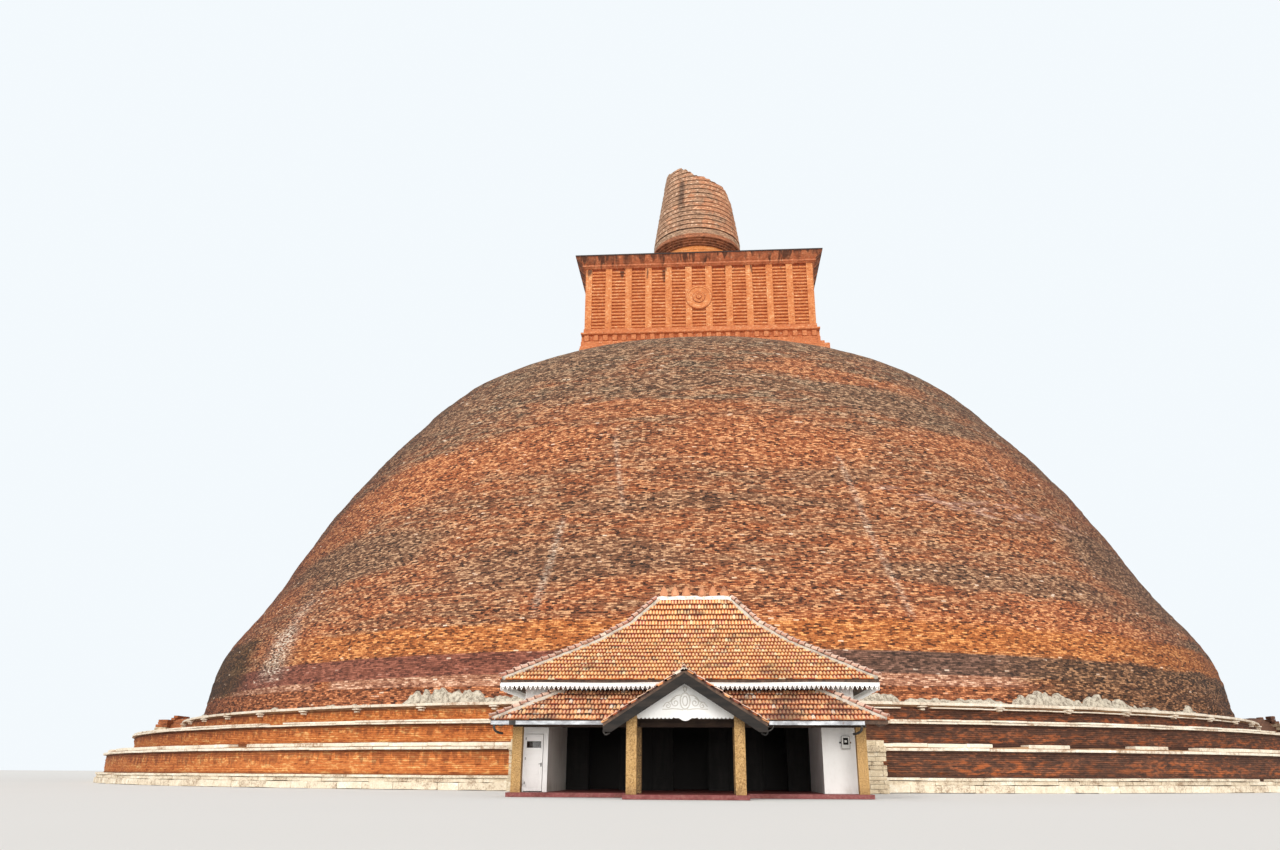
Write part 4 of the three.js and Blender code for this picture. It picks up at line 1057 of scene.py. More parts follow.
# The plaster's upper edge round the dome: azimuth and height
PLASTER_TOPS = [(-180, 4.7), (-165, 5.2), (-150, 4.6), (-128, 5.3), (-110, 4.6), (-90, 4.6), (-61, 4.62),
                (-58, 4.95), (-55, 4.6), (-50, 4.85), (-47, 4.62), (-40, 4.6), (-37, 4.9), (-34, 4.62),
                (-30, 4.75), (-22.3, 4.65), (-21.8, 5.1), (-21.2, 5.5), (-20.6, 5.5), (-20.1, 5.83),
                (-19.5, 5.6), (-19.0, 5.68), (-18.4, 5.32), (-17.5, 5.40), (-16.6, 5.52), (-15.7, 5.39),
                (-15.3, 5.0), (-8, 5.0), (0, 4.9), (8, 4.9), (11.5, 5.0), (12.4, 5.21), (14, 4.9),
                (16.8, 5.0), (17.1, 4.84), (21.0, 5.03), (22.6, 4.95), (23.1, 5.0), (23.2, 5.53), (23.9, 5.5),
                (24.1, 5.1), (25.6, 5.48), (26.4, 5.2), (27.6, 5.66), (28.4, 5.09), (29.6, 5.1), (31.1, 5.53),
                (32.4, 5.1), (33.9, 5.26), (35.5, 4.9), (37.5, 4.95), (41, 4.75), (44, 5.1), (46, 4.65),
                (52, 4.8), (60, 4.62), (90, 4.6), (120, 5.1), (140, 4.6), (180, 4.7)]
PLASTER_FOOT_Z = 4.45


def make_dome_foot():
    """What is left of the plaster at the dome's foot: low clouds and spikes along the third terrace."""
    turns = 2000
    angle = full_turn(turns)
    degrees = (np.degrees(angle) + 180) % 360 - 180
    x, y = out_at(47, angle)
    known = np.array(PLASTER_TOPS)
    tall = np.interp(degrees, *known.T) - PLASTER_FOOT_Z
    ragged = 0.4 * lumps(x, y, 0, 0.22, 3) + 0.3 * lumps(x, y, 0, 0.5, 6) + 0.3 * lumps(x, y, 0, 1.3, 4)
    tall = np.maximum(tall * (0.86 + 0.55 * ragged) + 0.08 * ragged, 0.03)
    shares = ((0.0, 0.24), (0.0, 0.26), (0.25, 0.25), (0.5, 0.21), (0.75, 0.17), (0.92, 0.12), (1.0, 0.06),
              (1.0, -0.2), (0.0, -0.2))
    rows = []
    for share, out in shares:
        height = PLASTER_FOOT_Z + share * tall
        reach = 47.03 - 0.12 * share + out + 0.09 * lumps(x, y, height * 2, 0.4, 9) * (out > 0)
        rows.append(np.column_stack([*out_at(reach, angle), height]))
    pile = Pile()
    pile.grid(np.array(rows), wrap_rows=True)
    piece(pile, "dome_foot_plaster", [PLASTER_FOOT], crease=50)


# ---------------------------------------------------------------- the stupa: frontispieces


def frontispiece_profile(z):
    """How far out the carved stones and the brick above them stand at a height."""
    steps = ((0.0, 55.0), (0.6, 54.7), (1.75, 54.9), (2.2, 54.4), (2.6, 53.85), (4.4, 54.10), (4.75, 53.85),
             (5.0, 54.10), (5.3, 53.85), (5.55, 53.3), (6.2, 53.0))
    return [out for low, out in steps if z >= low - 1e-6][-1]


SIDES = ("front", "right", "back", "left")
CORE = np.array([(-6.3, 0.0), (6.3, 0.0), (6.25, 4.4), (6.0, 5.2), (5.1, 5.75), (2.0, 6.02), (-1.5, 5.95),
                 (-3.5, 6.1), (-4.9, 5.7), (-5.9, 4.9), (-6.3, 3.2)])
CORE_BACK, CARVED_BACK = -50.8, 52.9


def make_frontispieces():
    """On each side a rough core of brick, and courses of carved stone and brick before it."""
    rng = np.random.default_rng(12)
    for k, side in enumerate(SIDES):
        pile = Pile()
        turn = k * math.pi / 2
        rows, (x, z) = [], CORE.T
        for depth in np.linspace(-53.2, CORE_BACK, 7):
            wobble = 0.12 * lumps(x, depth * 2, z * 2, 1.0, 40 + k)
            rows.append(np.column_stack([x + wobble, np.full(len(x), depth),
                                         np.maximum(z * 0.985 + wobble * (z > 1), 0)]))
        pile.grid(spun(rows, turn), 1, marks=0.5)
        z, centres, halves, looks = 0.0, [], [], []
        while z < 6.0:
            rise = min(rng.uniform(0.16, 0.30), 6.15 - z)
            reach = frontispiece_profile(z + rise / 2)
            half = 8.9 if z < 2.15 else 6.75 if z < 5.5 else 5.4
            x = -half
            while x < half - 0.2:
                length = min(rng.uniform(0.45, 1.1), half - x)
                if z < 5.3 or rng.uniform() < 0.6:
                    y = -(reach + CARVED_BACK) / 2 + rng.uniform(-0.03, 0.03)
                    centres.append((x + length / 2, y, z + rise / 2))
                    halves.append((length / 2 - 0.001, (reach - CARVED_BACK) / 2, rise / 2 - 0.001))
                    looks.append(0 if z < 5.3 and rng.uniform() < (1.0 if z < 2.6 else 0.55) else 1)
                x += length
            z += rise
        centres, halves, looks = spun(centres, turn), np.array(halves), np.array(looks)
        for look in (0, 1):
            chosen = looks == look
            stones(pile, centres[chosen], halves[chosen], turn, rng, 0.03, 0.10, look)
        brick = MOUND["right" if side in ("right", "back") else "left"]
        piece(pile, f"frontispiece_{side}_stones", [CARVED_STONE, brick],
              stands_for=[f"frontispiece_{side}"], crease=35)


# ---------------------------------------------------------------- the stupa: tower and spire

TOWER_X, TOWER_HALF, TOWER_FOOT, TOWER_TOP = 0.42, 11.75, 44.6, 51.7
PILASTERS, PILASTER_WIDTH, PILASTER_PITCH = 12, 0.70, 2.1273
SLOTS, SLOT_PITCH, FIRST_SLOT = 17, 0.38, 45.0


def make_railings():
    """On each side pilasters with bars and slots between them, and a sun disc in the middle; the slots' backs
    and the disc's rings are in darker brick as painted shade.
    """
    face, disc_z, half = -TOWER_HALF - 0.01, 48.0, PILASTER_WIDTH / 2
    middles = (np.arange(PILASTERS) - (PILASTERS - 1) / 2) * PILASTER_PITCH
    bar = [(0.0, 0.0), (-0.15, 0.015), (-0.20, 0.05), (-0.20, 0.19), (-0.16, 0.235), (0.0, 0.26)]
    for k, side in enumerate(SIDES):
        pile, bars = Pile(), Pile()
        wide = 12.05 if k % 2 == 0 else TOWER_HALF
        turn, centre = k * math.pi / 2, (TOWER_X, 0, 0)
        # The back plate behind the slots is in painted shade.
        boxes(pile, (-TOWER_HALF, face - 0.05, TOWER_FOOT), (TOWER_HALF, face, TOWER_TOP), 1, turn, centre)
        for left, right in zip(middles + half, middles[1:] - half):
            for slot in range(SLOTS + 1):
                foot = max(FIRST_SLOT + (slot - 1) * SLOT_PITCH + 0.12, TOWER_FOOT)
                bars.grid(np.array([[(x, face + y, foot + z) for y, z in bar] for x in (left, right)]))
        for middle in middles:
            low, high = max(middle - half, -wide), min(middle + half, wide)
            chamfered(bars, (low, face - 0.29, TOWER_FOOT), (high, face, TOWER_TOP), 0.03)
        disc = turned([(1.36, 0.0), (1.36, 0.34), (1.30, 0.41), (1.18, 0.41), (1.14, 0.33), (0.62, 0.33),
                       (0.60, 0.42), (0.48, 0.45), (0.44, 0.36), (0.26, 0.40), (0.20, 0.50), (0.07, 0.50),
                       (0.05, 0.40)], 40)
        bars.grid(np.stack([disc[..., 0], face - disc[..., 2], disc_z + disc[..., 1]], -1))
        # The disc's rings are in painted shade, which outlines it.
        for reach, depth in ((1.35, 0.30), (0.61, 0.38), (0.24, 0.43)):
            ring = turned([(reach + 0.055, 0), (reach, 0.045), (reach - 0.055, 0), (reach, -0.045)], 40)
            bars.grid(np.stack([ring[..., 0], face - depth - ring[..., 2], disc_z + ring[..., 1]], -1), 1,
                      wrap_rows=True)
        pile.grid_like(spun(np.concatenate(bars.corners), turn) + centre, bars)
        piece(pile, f"railing_{side}_bars", [RAILING, RAILING_SLOT_SHADE],
              stands_for=[f"railing_{side}"], crease=35)


BASE_LEFT, GAP_FOOT, GAP_TOP = 12.4, 43.1, 43.8


def make_tower():
    """The base's mouldings with a course of stones in their gap, whose back is in painted shade, and the
    cornice with its black edge, which is painted shade of its underside and dark weathering.
    """
    axis = (TOWER_X, 0)
    base = Pile()
    rows = squared([(13.15, 39.9), (13.15, 41.86), (13.06, 41.95), (12.72, 41.96), (12.7, 42.02),
                    (12.7, 42.34), (12.64, 42.4), (12.37, 42.41), (12.35, 42.5), (12.35, 43.02),
                    (12.3, 43.08), (12.08, GAP_FOOT), (12.08, GAP_TOP), (12.28, 43.84), (12.38, 43.92),
                    (12.38, 44.08), (12.22, 44.14), (12.12, 44.2), (12.12, 44.59)], axis, 8)
    rows[..., 0] = np.maximum(rows[..., 0], TOWER_X - BASE_LEFT)
    base.grid(rows)
    # The gap's back face is in painted shade.
    base.grid(squared([(12.09, GAP_FOOT), (12.09, GAP_TOP)], axis, 8), 1)
    lows, highs = [], []
    for x in np.arange(-12, 13) * 0.98:
        low, high = x - 0.25, x + 0.25
        lows += [(low, -12.36), (low, 12.0), (-12.36, low), (12.0, low)]
        highs += [(high, -12.0), (high, 12.36), (-12.0, high), (12.36, high)]
    rng = np.random.default_rng(17)
    lows = np.column_stack([lows, np.full(len(lows), GAP_FOOT + 0.04)])
    highs = np.column_stack([highs, np.full(len(highs), GAP_TOP - 0.04)])
    stones(base, (lows + highs) / 2 + (TOWER_X, 0, 0), (highs - lows) / 2, 0.0, rng, 0.06, 0.15)
    piece(base, "tower_base_mouldings", [BASE_BRICK, BASE_GAP_SHADE], stands_for=["tower_base"],
          crease=35)

    cornice = Pile()
    profile = [(11.9, 51.7), (12.12, 51.71), (12.2, 51.8), (12.36, 51.86), (12.38, 51.95), (12.38, 52.02),
               (12.28, 52.06), (12.34, 52.1), (12.62, 52.3), (12.82, 52.5), (12.99, 52.70), (13.05, 52.72)]
    cornice.grid(squared(profile, axis, 12))
    # The cornice's top edge, near black: painted shade and dark weathering.
    cornice.grid(squared([(13.05, 52.721), (13.07, 52.75), (13.07, 52.88), (13.0, 52.9)], axis, 12), 1)
    piece(cornice, "tower_cornice_mouldings", [CORNICE_BRICK, CORNICE_EDGE_SHADE_AND_STAIN],
          stands_for=["tower_cornice"], crease=30)


SPIRE_X, RING, COURSE, TIP = 0.25, 0.66, 0.22, 70.6
# The spire's broken edge: x and height
TORN_EDGE = [(-7, 70.6), (-3.2, 70.6), (-1.8, 70.4), (-1.3, 70.1), (-0.6, 69.55), (0.3, 68.8), (0.8, 68.5),
             (1.4, 68.35), (3.3, 68.2), (4.0, 67.6), (4.2, 66.8), (7, 65.9)]


def torn_top(x, y):
    """The height of the broken brickwork, in steps of a course."""
    ragged = np.interp(x, *zip(*TORN_EDGE)) + 0.25 * lumps(x, y, 0, 0.8, 61) - 0.12
    return np.minimum(np.floor(ragged / COURSE) * COURSE + 0.05, TIP)


def make_spire():
    """The drum, the corbel courses, and the ringed spire, whose rings end where the break runs."""
    drum = Pile()
    drum.grid(turned([(4.4, 52.9), (4.4, 53.3), (4.34, 53.36), (4.34, 58.2), (4.4, 58.26), (4.4, 58.7)], 72,
                     middle=(SPIRE_X, 0)))
    piece(drum, "spire_drum_brickwork", [DRUM_BRICK], stands_for=["spire_drum"])
    corbels = Pile()
    rows = [(4.3, 58.7)]
    for i in range(4):
        radius, foot = 4.4 + 0.245 * (i + 1), 58.7 + 0.2 * i
        rows += [(radius - 0.12, foot), (radius - 0.12, foot + 0.035), (radius, foot + 0.05),
                 (radius, foot + 0.17), (radius - 0.03, foot + 0.2)]
    corbels.grid(turned(rows, 72, middle=(SPIRE_X, 0)))
    piece(corbels, "spire_corbel_courses", [SPIRE_BRICK], stands_for=["spire_corbels"],
          crease=30)

    turns = 144
    angle = full_turn(turns)
    rows = [(5.30, 59.5), (5.30, 59.62), (5.22, 59.66), (5.22, 60.5), (5.14, 60.58)]
    z = 60.6
    while z < 71.2:
        radius = 5.22 - 0.157 * (z - 60.6)
        rows += [(radius - 0.16, z), (radius - 0.16, z + 0.08), (radius - 0.01, z + 0.11),
                 (radius - 0.04, z + 0.34), (radius - 0.06, z + 0.36), (radius - 0.05, z + 0.62)]
        z += RING
    rows = np.array(rows)
    corners = turned(rows, turns, middle=(SPIRE_X, 0))
    x, y = corners[..., 0], corners[..., 1]
    swell_x, swell_y = out_at(0.03 * lumps(x, y, corners[..., 2] * 1.5, 0.6, 51), angle)
    corners[..., 0] += swell_x
    corners[..., 1] += swell_y
    limit = torn_top(x, y)
    corners[..., 2] = np.minimum(corners[..., 2], limit)
    first_over = (rows[:, 1:] > limit).argmax(0)
    for j, row in enumerate(first_over):
        if rows[-1, 1] > limit[-1, j]:
            corners[row:, j] = corners[row, j]
    top = corners[-1]
    middle = np.array([SPIRE_X, 0])
    caps = [top]
    for share in (0.86, 0.7, 0.5, 0.3, 0.12):
        flat = middle + (top[:, :2] - middle) * share
        height = np.minimum(torn_top(*flat.T) - 0.15 * (1 - share), TIP - 0.1)
        caps.append(np.column_stack([flat, height]))
    pile = Pile()
    pile.grid(corners)
    pile.faces.pop(), pile.looks.pop()
    pile.grid(np.array(caps))
    pile.faces.pop(-2), pile.looks.pop(-2)
    piece(pile, "spire_rings", [SPIRE_BRICK], stands_for=["spire"], crease=35, mend=True)


# ---------------------------------------------------------------- the shrine: tiled roofs

TILE_WIDTH, CHANNEL = 0.275, 0.1375
EAVES = {"x": -0.10, "half": 7.2, "front": -65.0, "back": -54.2, "z": 4.197}
RIDGE = {"x": 0.12, "half": 1.61, "y": -59.6, "z": 8.164}
BENDS = ((0.4425, 5.953), (0.2213, 6.839))
PORCH_X, PORCH_HALF, PORCH_RIDGE_Z, PORCH_EAVE_Z = -0.13, 2.81, 4.22, 2.44
PORCH_FRONT, PORCH_BACK = -68.4, -65.06
VERANDAH = {"left": -7.34, "right": 7.10, "front": -66.2, "back": -64.203, "eave": 2.66, "top": 3.864,
            "hip": 4.935}


def tile_shape():
    """Two barrels side by side, with a flat foot: (across, up, crest) points. crest is 1 where the painted
    highlight is strongest and low in the channels, where painted shadow goes.
    """
    points = []
    for barrel in (0, 1):
        start = -TILE_WIDTH / 2 + barrel * CHANNEL
        first = 0.55 if barrel else 0.46
        for share, up, crest in ((0.0, 0.012, first), (0.25, 0.044, 0.8), (0.5, 0.056, 1.0),
                                 (0.75, 0.044, 0.8)):
            points.append((start + share * CHANNEL, up, crest))
    points += [(TILE_WIDTH / 2, 0.012, 0.5), (TILE_WIDTH / 2, -0.015, 0.3), (-TILE_WIDTH / 2, -0.015, 0.3)]
    return np.array(points)


TILE = tile_shape()


def tile_slope(pile, corner, along, up, length, rows, left, right, rng, top=None):
    """Tiles in rows up a slope, cut to its left and right edges, which are given by height up the slope."""
    corner, along, up = (np.array(v, float) for v in (corner, along, up))
    along, up = along / np.linalg.norm(along), up / np.linalg.norm(up)
    out = np.cross(along, up)
    out *= np.sign(out[2])
    exposure = length / rows
    ends = exposure + 0.05
    # The stations' third numbers scale each tile's painted highlight, and their zeros put painted shadow
    # under the next row.
    stations = ((-0.03, 0.036, 1.0), (exposure * 0.52, 0.016, 0.9), (exposure * 0.68, 0.006, 0.4),
                (exposure * 0.79, 0.003, 0.0), (ends, 0.0, 0.0))
    made, marks = [], []
    for row in range(rows):
        v0 = row * exposure
        low, high = min(left(v0), left(v0 + exposure)), max(right(v0), right(v0 + exposure))
        number = int((high - low) / TILE_WIDTH) + 3
        start = math.floor(low / TILE_WIDTH) * TILE_WIDTH + (row % 2) * CHANNEL * 0.5
        for k in range(number):
            middle = start + k * TILE_WIDTH
            v_mid = v0 + exposure / 2
            if middle + TILE_WIDTH / 2 < left(v_mid) + 0.04 or middle - TILE_WIDTH / 2 > right(v_mid) - 0.04:
                continue
            shift, lift, slip = rng.uniform(-0.007, 0.007), rng.uniform(0, 0.008), rng.uniform(-0.015, 0.012)
            shape, mark = [], []
            for v, raise_by, lit in stations:
                here = v0 + v + slip
                if top is not None:
                    here = min(here, top)
                u = np.clip(middle + TILE[:, 0] + shift, left(here), right(here))
                w = TILE[:, 1] + raise_by + lift
                shape.append(corner + u[:, None] * along + here * up + w[:, None] * out)
                mark.append(TILE[:, 2] * lit)
            made.append(np.concatenate(shape))
            marks.append(np.concatenate(mark))
    around, faces = len(TILE), []
    for s in range(len(stations) - 1):
        for i in range(around):
            j = (i + 1) % around
            faces.append((s * around + i, s * around + j, (s + 1) * around + j, (s + 1) * around + i))
    last = (len(stations) - 1) * around
    faces += [tuple(range(around))[::-1], tuple(range(last, last + around))]
    pile.copies(np.array(made), faces, marks=np.array(marks))


def half_round_tiles(pile, path, radius, length, rng):
    """Half-round tiles laid one over the other up a line."""
    path, reach = measured(path)
    number = max(int(round(reach[-1] / length)), 1)
    pace = reach[-1] / number
    arc = np.radians(np.linspace(-10, 190, 9))
    outer = np.column_stack([np.cos(arc), np.sin(arc)]) * radius
    inner = np.column_stack([np.cos(arc[::-1]), np.sin(arc[::-1])]) * (radius - 0.022)
    section = np.vstack([outer, inner])
    # crest scales the painted highlight on the tiles' tops, and the marks' zeros put painted shadow on the
    # ends under the next tile.
    crest = np.concatenate([np.clip(np.sin(arc) * 1.2, 0.55, 0.9), np.full(9, 0.5)])
    for k in range(number):
        ends = np.minimum(np.array([-0.03, 0.03, 0.05, pace - 0.10, pace - 0.04, pace + 0.04]) + k * pace,
                          reach[-1])
        points = points_at(path, reach, ends)
        points[:, 2] += np.array([0.04, 0.037, 0.032, 0.015, 0.012, 0.008]) + rng.uniform(0, 0.01)
        points += rng.uniform(-0.01, 0.01, (1, 3))
        rail(pile, points, section, scales=(1.14, 1.14, 1.0, 0.93, 0.92, 0.9),
             marks=np.outer((1, 1, 1, 1, 0, 0), crest))


def mortar_line(pile, path, width, height, seed, look):
    """Lumpy mortar along a hip, a ridge or a verge."""
    path, reach = measured(path)
    steps = np.linspace(0, reach[-1], max(int(reach[-1] / 0.12), 3))
    points = points_at(path, reach, steps)
    section = np.array([(-width, -0.05), (-width * 0.85, height * 0.5), (-width * 0.4, height),
                        (width * 0.4, height), (width * 0.85, height * 0.5), (width, -0.05)])
    rough = 0.28 * lumps(steps[:, None] * 4, np.arange(6)[None] * 3.0, 0, 1.0, seed)
    rail(pile, points, section, look, swell=rough)


def roof_corner(sx, sy, share=1.0, z=None):
    """A point on a hip of the upper roof: share is 1 at the eaves and 0 at the ridge."""
    end_y = EAVES["front"] if sy < 0 else EAVES["back"]
    ridge_x, eave_x = RIDGE["x"] + sx * RIDGE["half"], EAVES["x"] + sx * EAVES["half"]
    return np.array([ridge_x + (eave_x - ridge_x) * share, RIDGE["y"] + (end_y - RIDGE["y"]) * share,
                     EAVES["z"] if z is None else z])


HIP_STATIONS = ((1.0, EAVES["z"]), *BENDS, (0.0, RIDGE["z"]))
ROWS_PER_PITCH = (10, 4, 5)


def make_upper_roof():
    """The tiles of the four slopes, each in three pitches, and of the four hips."""
    rng = np.random.default_rng(23)
    sides = {"front": ((-1, -1), (1, -1)), "back": ((1, 1), (-1, 1)), "left": ((-1, 1), (-1, -1)),
             "right": ((1, -1), (1, 1))}
    for side, (a, b) in sides.items():
        pile = Pile()
        for (s0, z0), (s1, z1), rows in zip(HIP_STATIONS, HIP_STATIONS[1:], ROWS_PER_PITCH):
            a0, b0 = roof_corner(*a, s0, z0), roof_corner(*b, s0, z0)
            a1, b1 = roof_corner(*a, s1, z1), roof_corner(*b, s1, z1)
            wide = np.linalg.norm(b0 - a0)
            unit = (b0 - a0) / wide
            up = (a1 + b1 - a0 - b0) / 2
            up = up - unit * np.dot(up, unit)
            length, half = np.linalg.norm(up), wide / 2
            run_left, run_right = np.dot(a1 - a0, unit) / length, np.dot(b0 - b1, unit) / length
            left = lambda v, half=half, run=run_left: -half + run * max(v, 0)
            right = lambda v, half=half, run=run_right: half - run * max(v, 0)
            tile_slope(pile, (a0 + b0) / 2, unit, up, length, rows, left, right, rng,
                       top=length if s1 == 0 else None)
        piece(pile, f"{side}_roof_tiles", [UPPER_TILE], crease=50, mend=True)
    hips = Pile()
    for n, (sx, sy) in enumerate(((-1, -1), (1, -1), (1, 1), (-1, 1))):
        path = [roof_corner(sx, sy, s, z + 0.05) for s, z in HIP_STATIONS]
        inside = [p - (sx * 0.09, sy * 0.02, 0) for p in path]
        mortar_line(hips, inside, 0.11, 0.07, 70 + n, 1)
        half_round_tiles(hips, [p + (sx * 0.03, 0, 0.05) for p in path], 0.10, 0.34, rng)
    piece(hips, "upper_hip_tiles", [HIP_TILE, HIP_MORTAR], crease=50)


def flame_leaf(middle, half, foot, tall):
    """The outline of a lobed, pointed roof ornament."""
    right = [(0.55, 0.0), (0.80, 0.10), (1.0, 0.26), (0.93, 0.40), (0.74, 0.44), (0.80, 0.52), (0.70, 0.64),
             (0.50, 0.66), (0.55, 0.74), (0.42, 0.84), (0.22, 0.90), (0.10, 1.0), (0.0, 1.08)]
    points = right + [(-u, v) for u, v in right[-2::-1]]
    return [(middle + u * half, foot + v * tall) for u, v in points]


def make_ridge():
    """The ridge's mortar with its six flames and its short stones."""
    pile = Pile()
    rng = np.random.default_rng(29)
    y, z = RIDGE["y"], RIDGE["z"]
    left, right = RIDGE["x"] - RIDGE["half"] - 0.04, RIDGE["x"] + RIDGE["half"] + 0.04
    mortar_line(pile, [(left, y, z), (RIDGE["x"], y, z + 0.01), (right, y, z)], 0.14, 0.11, 81, 1)
    for out in (-1.345, -0.845, -0.344, 0.354, 0.854, 1.345):
        x = RIDGE["x"] + out
        # Marks tint the flames toward the ridge tile's painted highlight colour, the raised leaves the most.
        prism(pile, flame_leaf(x, 0.19, 8.262, 0.49), y - 0.05, y + 0.05, "xzy", 0, rim=0.018, marks=0.8)
        for face in (-1, 1):
            depth = sorted((y + face * 0.045, y + face * 0.07))
            prism(pile, flame_leaf(x, 0.11, 8.33, 0.30), depth[0], depth[1], "xzy", 0, rim=0.01, marks=1.0)
    for x in np.arange(left + 0.08, right, 0.4):
        stones(pile, [(x, y - 0.12, z + 0.06), (x, y + 0.12, z + 0.06)], (0.055, 0.05, 0.045), 0.0, rng, 0.2,
               0.5, 1)
    piece(pile, "ridge_flames", [RIDGE_TILE, RIDGE_MORTAR], stands_for=["ridge_and_finials"],
          crease=35)


def verandah_z(y):
    """The height of the verandah roof's face."""
    v = VERANDAH
    return v["eave"] + (y - v["front"]) * (v["top"] - v["eave"]) / (SHRINE_FRONT - v["front"])


def make_lower_roofs():
    """The tiles of the verandah's two halves and of the porch, and of their hips, valleys and verges."""
    rng = np.random.default_rng(31)
    v = VERANDAH
    depth, rise = v["back"] - v["front"], v["top"] - v["eave"]
    length = math.hypot(depth, rise)
    porch_rise = PORCH_RIDGE_Z - PORCH_EAVE_Z
    porch_slope, slope_length = porch_rise / PORCH_HALF, math.hypot(PORCH_HALF, porch_rise)
    for side, way in (("left", -1), ("right", 1)):
        pile = Pile()
        end, hip_top = v[side], way * v["hip"]

        def valley(up_slope, way=way):
            y = v["front"] + np.clip(up_slope, 0, None) * depth / length
            gap = (PORCH_RIDGE_Z - verandah_z(y)) / porch_slope if y < PORCH_BACK else 0.0
            return PORCH_X + way * max(gap - 0.08, 0.0)

        def hip(up_slope, end=end, hip_top=hip_top):
            return end + (hip_top - end) * max(up_slope, 0) / length

        left, right = (hip, valley) if way < 0 else (valley, hip)
        tile_slope(pile, (0, v["front"], v["eave"]), (1, 0, 0), (0, depth, rise), length, 6, left, right, rng,
                   top=length)
        end_length = math.hypot(end - hip_top, rise)
        edge = lambda up_slope: 0.0
        cut = lambda up_slope: -depth * (1 - max(up_slope, 0) / end_length)
        tile_slope(pile, (end, v["back"], v["eave"]), (0, 1, 0), (hip_top - end, 0, rise), end_length, 6, cut,
                   edge, rng, top=end_length)
        piece(pile, f"verandah_{side}_tiles", [LOWER_TILE], crease=50, mend=True)

        porch = Pile()

        def back_edge(up_slope):
            out = PORCH_HALF * (1 - max(up_slope, 0) / slope_length)
            z = PORCH_RIDGE_Z - porch_slope * out
            y = v["front"] + (z - v["eave"]) / (rise / (SHRINE_FRONT - v["front"]))
            return min(max(y, v["front"] - 0.02), PORCH_BACK)

        front_edge = lambda up_slope: PORCH_FRONT - 0.02
        tile_slope(porch, (PORCH_X + way * PORCH_HALF, 0, PORCH_EAVE_Z), (0, 1, 0),
                   (-way * PORCH_HALF, 0, porch_rise), slope_length, 9, front_edge, back_edge, rng,
                   top=slope_length)
        piece(porch, f"porch_{side}_tiles", [LOWER_TILE], crease=50, mend=True)
    hips = Pile()
    for n, way in enumerate((-1, 1)):
        end = v["left"] if way < 0 else v["right"]
        path = [np.array((end, v["front"], v["eave"] + 0.05)),
                np.array((way * v["hip"], v["back"] - 0.05, v["top"] + 0.05))]
        mortar_line(hips, [p - (way * 0.08, 0, 0) for p in path], 0.10, 0.06, 90 + n, 1)
        half_round_tiles(hips, [p + (way * 0.02, 0, 0.04) for p in path], 0.09, 0.34, rng)
        valley_path = [(PORCH_X + way * (PORCH_RIDGE_Z - verandah_z(y)) / porch_slope, y,
                        verandah_z(y) + 0.03) for y in (v["front"], PORCH_BACK)]
        mortar_line(hips, valley_path, 0.07, 0.05, 94 + n, 1)
    ridge = [np.array((PORCH_X, PORCH_FRONT - 0.02, PORCH_RIDGE_Z + 0.01)),
             np.array((PORCH_X, PORCH_BACK, PORCH_RIDGE_Z + 0.01))]
    mortar_line(hips, ridge, 0.12, 0.06, 97, 1)
    half_round_tiles(hips, [p + (0, 0, 0.03) for p in ridge], 0.09, 0.34, rng)
    for way in (-1, 1):
        edge = [np.array((PORCH_X + way * PORCH_HALF, PORCH_FRONT + 0.04, PORCH_EAVE_Z + 0.04)),
                np.array((PORCH_X + way * 0.05, PORCH_FRONT + 0.04, PORCH_RIDGE_Z + 0.01))]
        half_round_tiles(hips, edge, 0.045, 0.36, rng)
    piece(hips, "lower_hip_tiles", [HIP_TILE, HIP_MORTAR], crease=50)


# ---------------------------------------------------------------- the shrine: boards, walls and doors


def lace_tooth(pitch, top, tall, hole):
    """A hanging pointed tooth with a round hole: the same number of points outside and round the hole."""
    angles = np.radians(np.arange(16) * 22.5 + 11.25)
    outer = []
    for a in angles:
        x, z = math.cos(a), math.sin(a)
        k = 1 / max(abs(x), abs(z))
        x, z = x * k, z * k
        x *= 1 - 0.44 * (1 - z)
        if z < -0.6:
            z *= 1.15 - 0.6 * min(abs(x) * 4, 1.0)
        outer.append((x * pitch / 2, z * 0.5))
    across, up = np.array(outer).T
    up = top - tall / 2 + up * tall * (up > 0) + up * tall * 0.87 * (up <= 0)
    inner = np.column_stack([np.cos(angles) * hole, top - tall * 0.42 + np.sin(angles) * hole])
    return np.column_stack([across, up]), inner


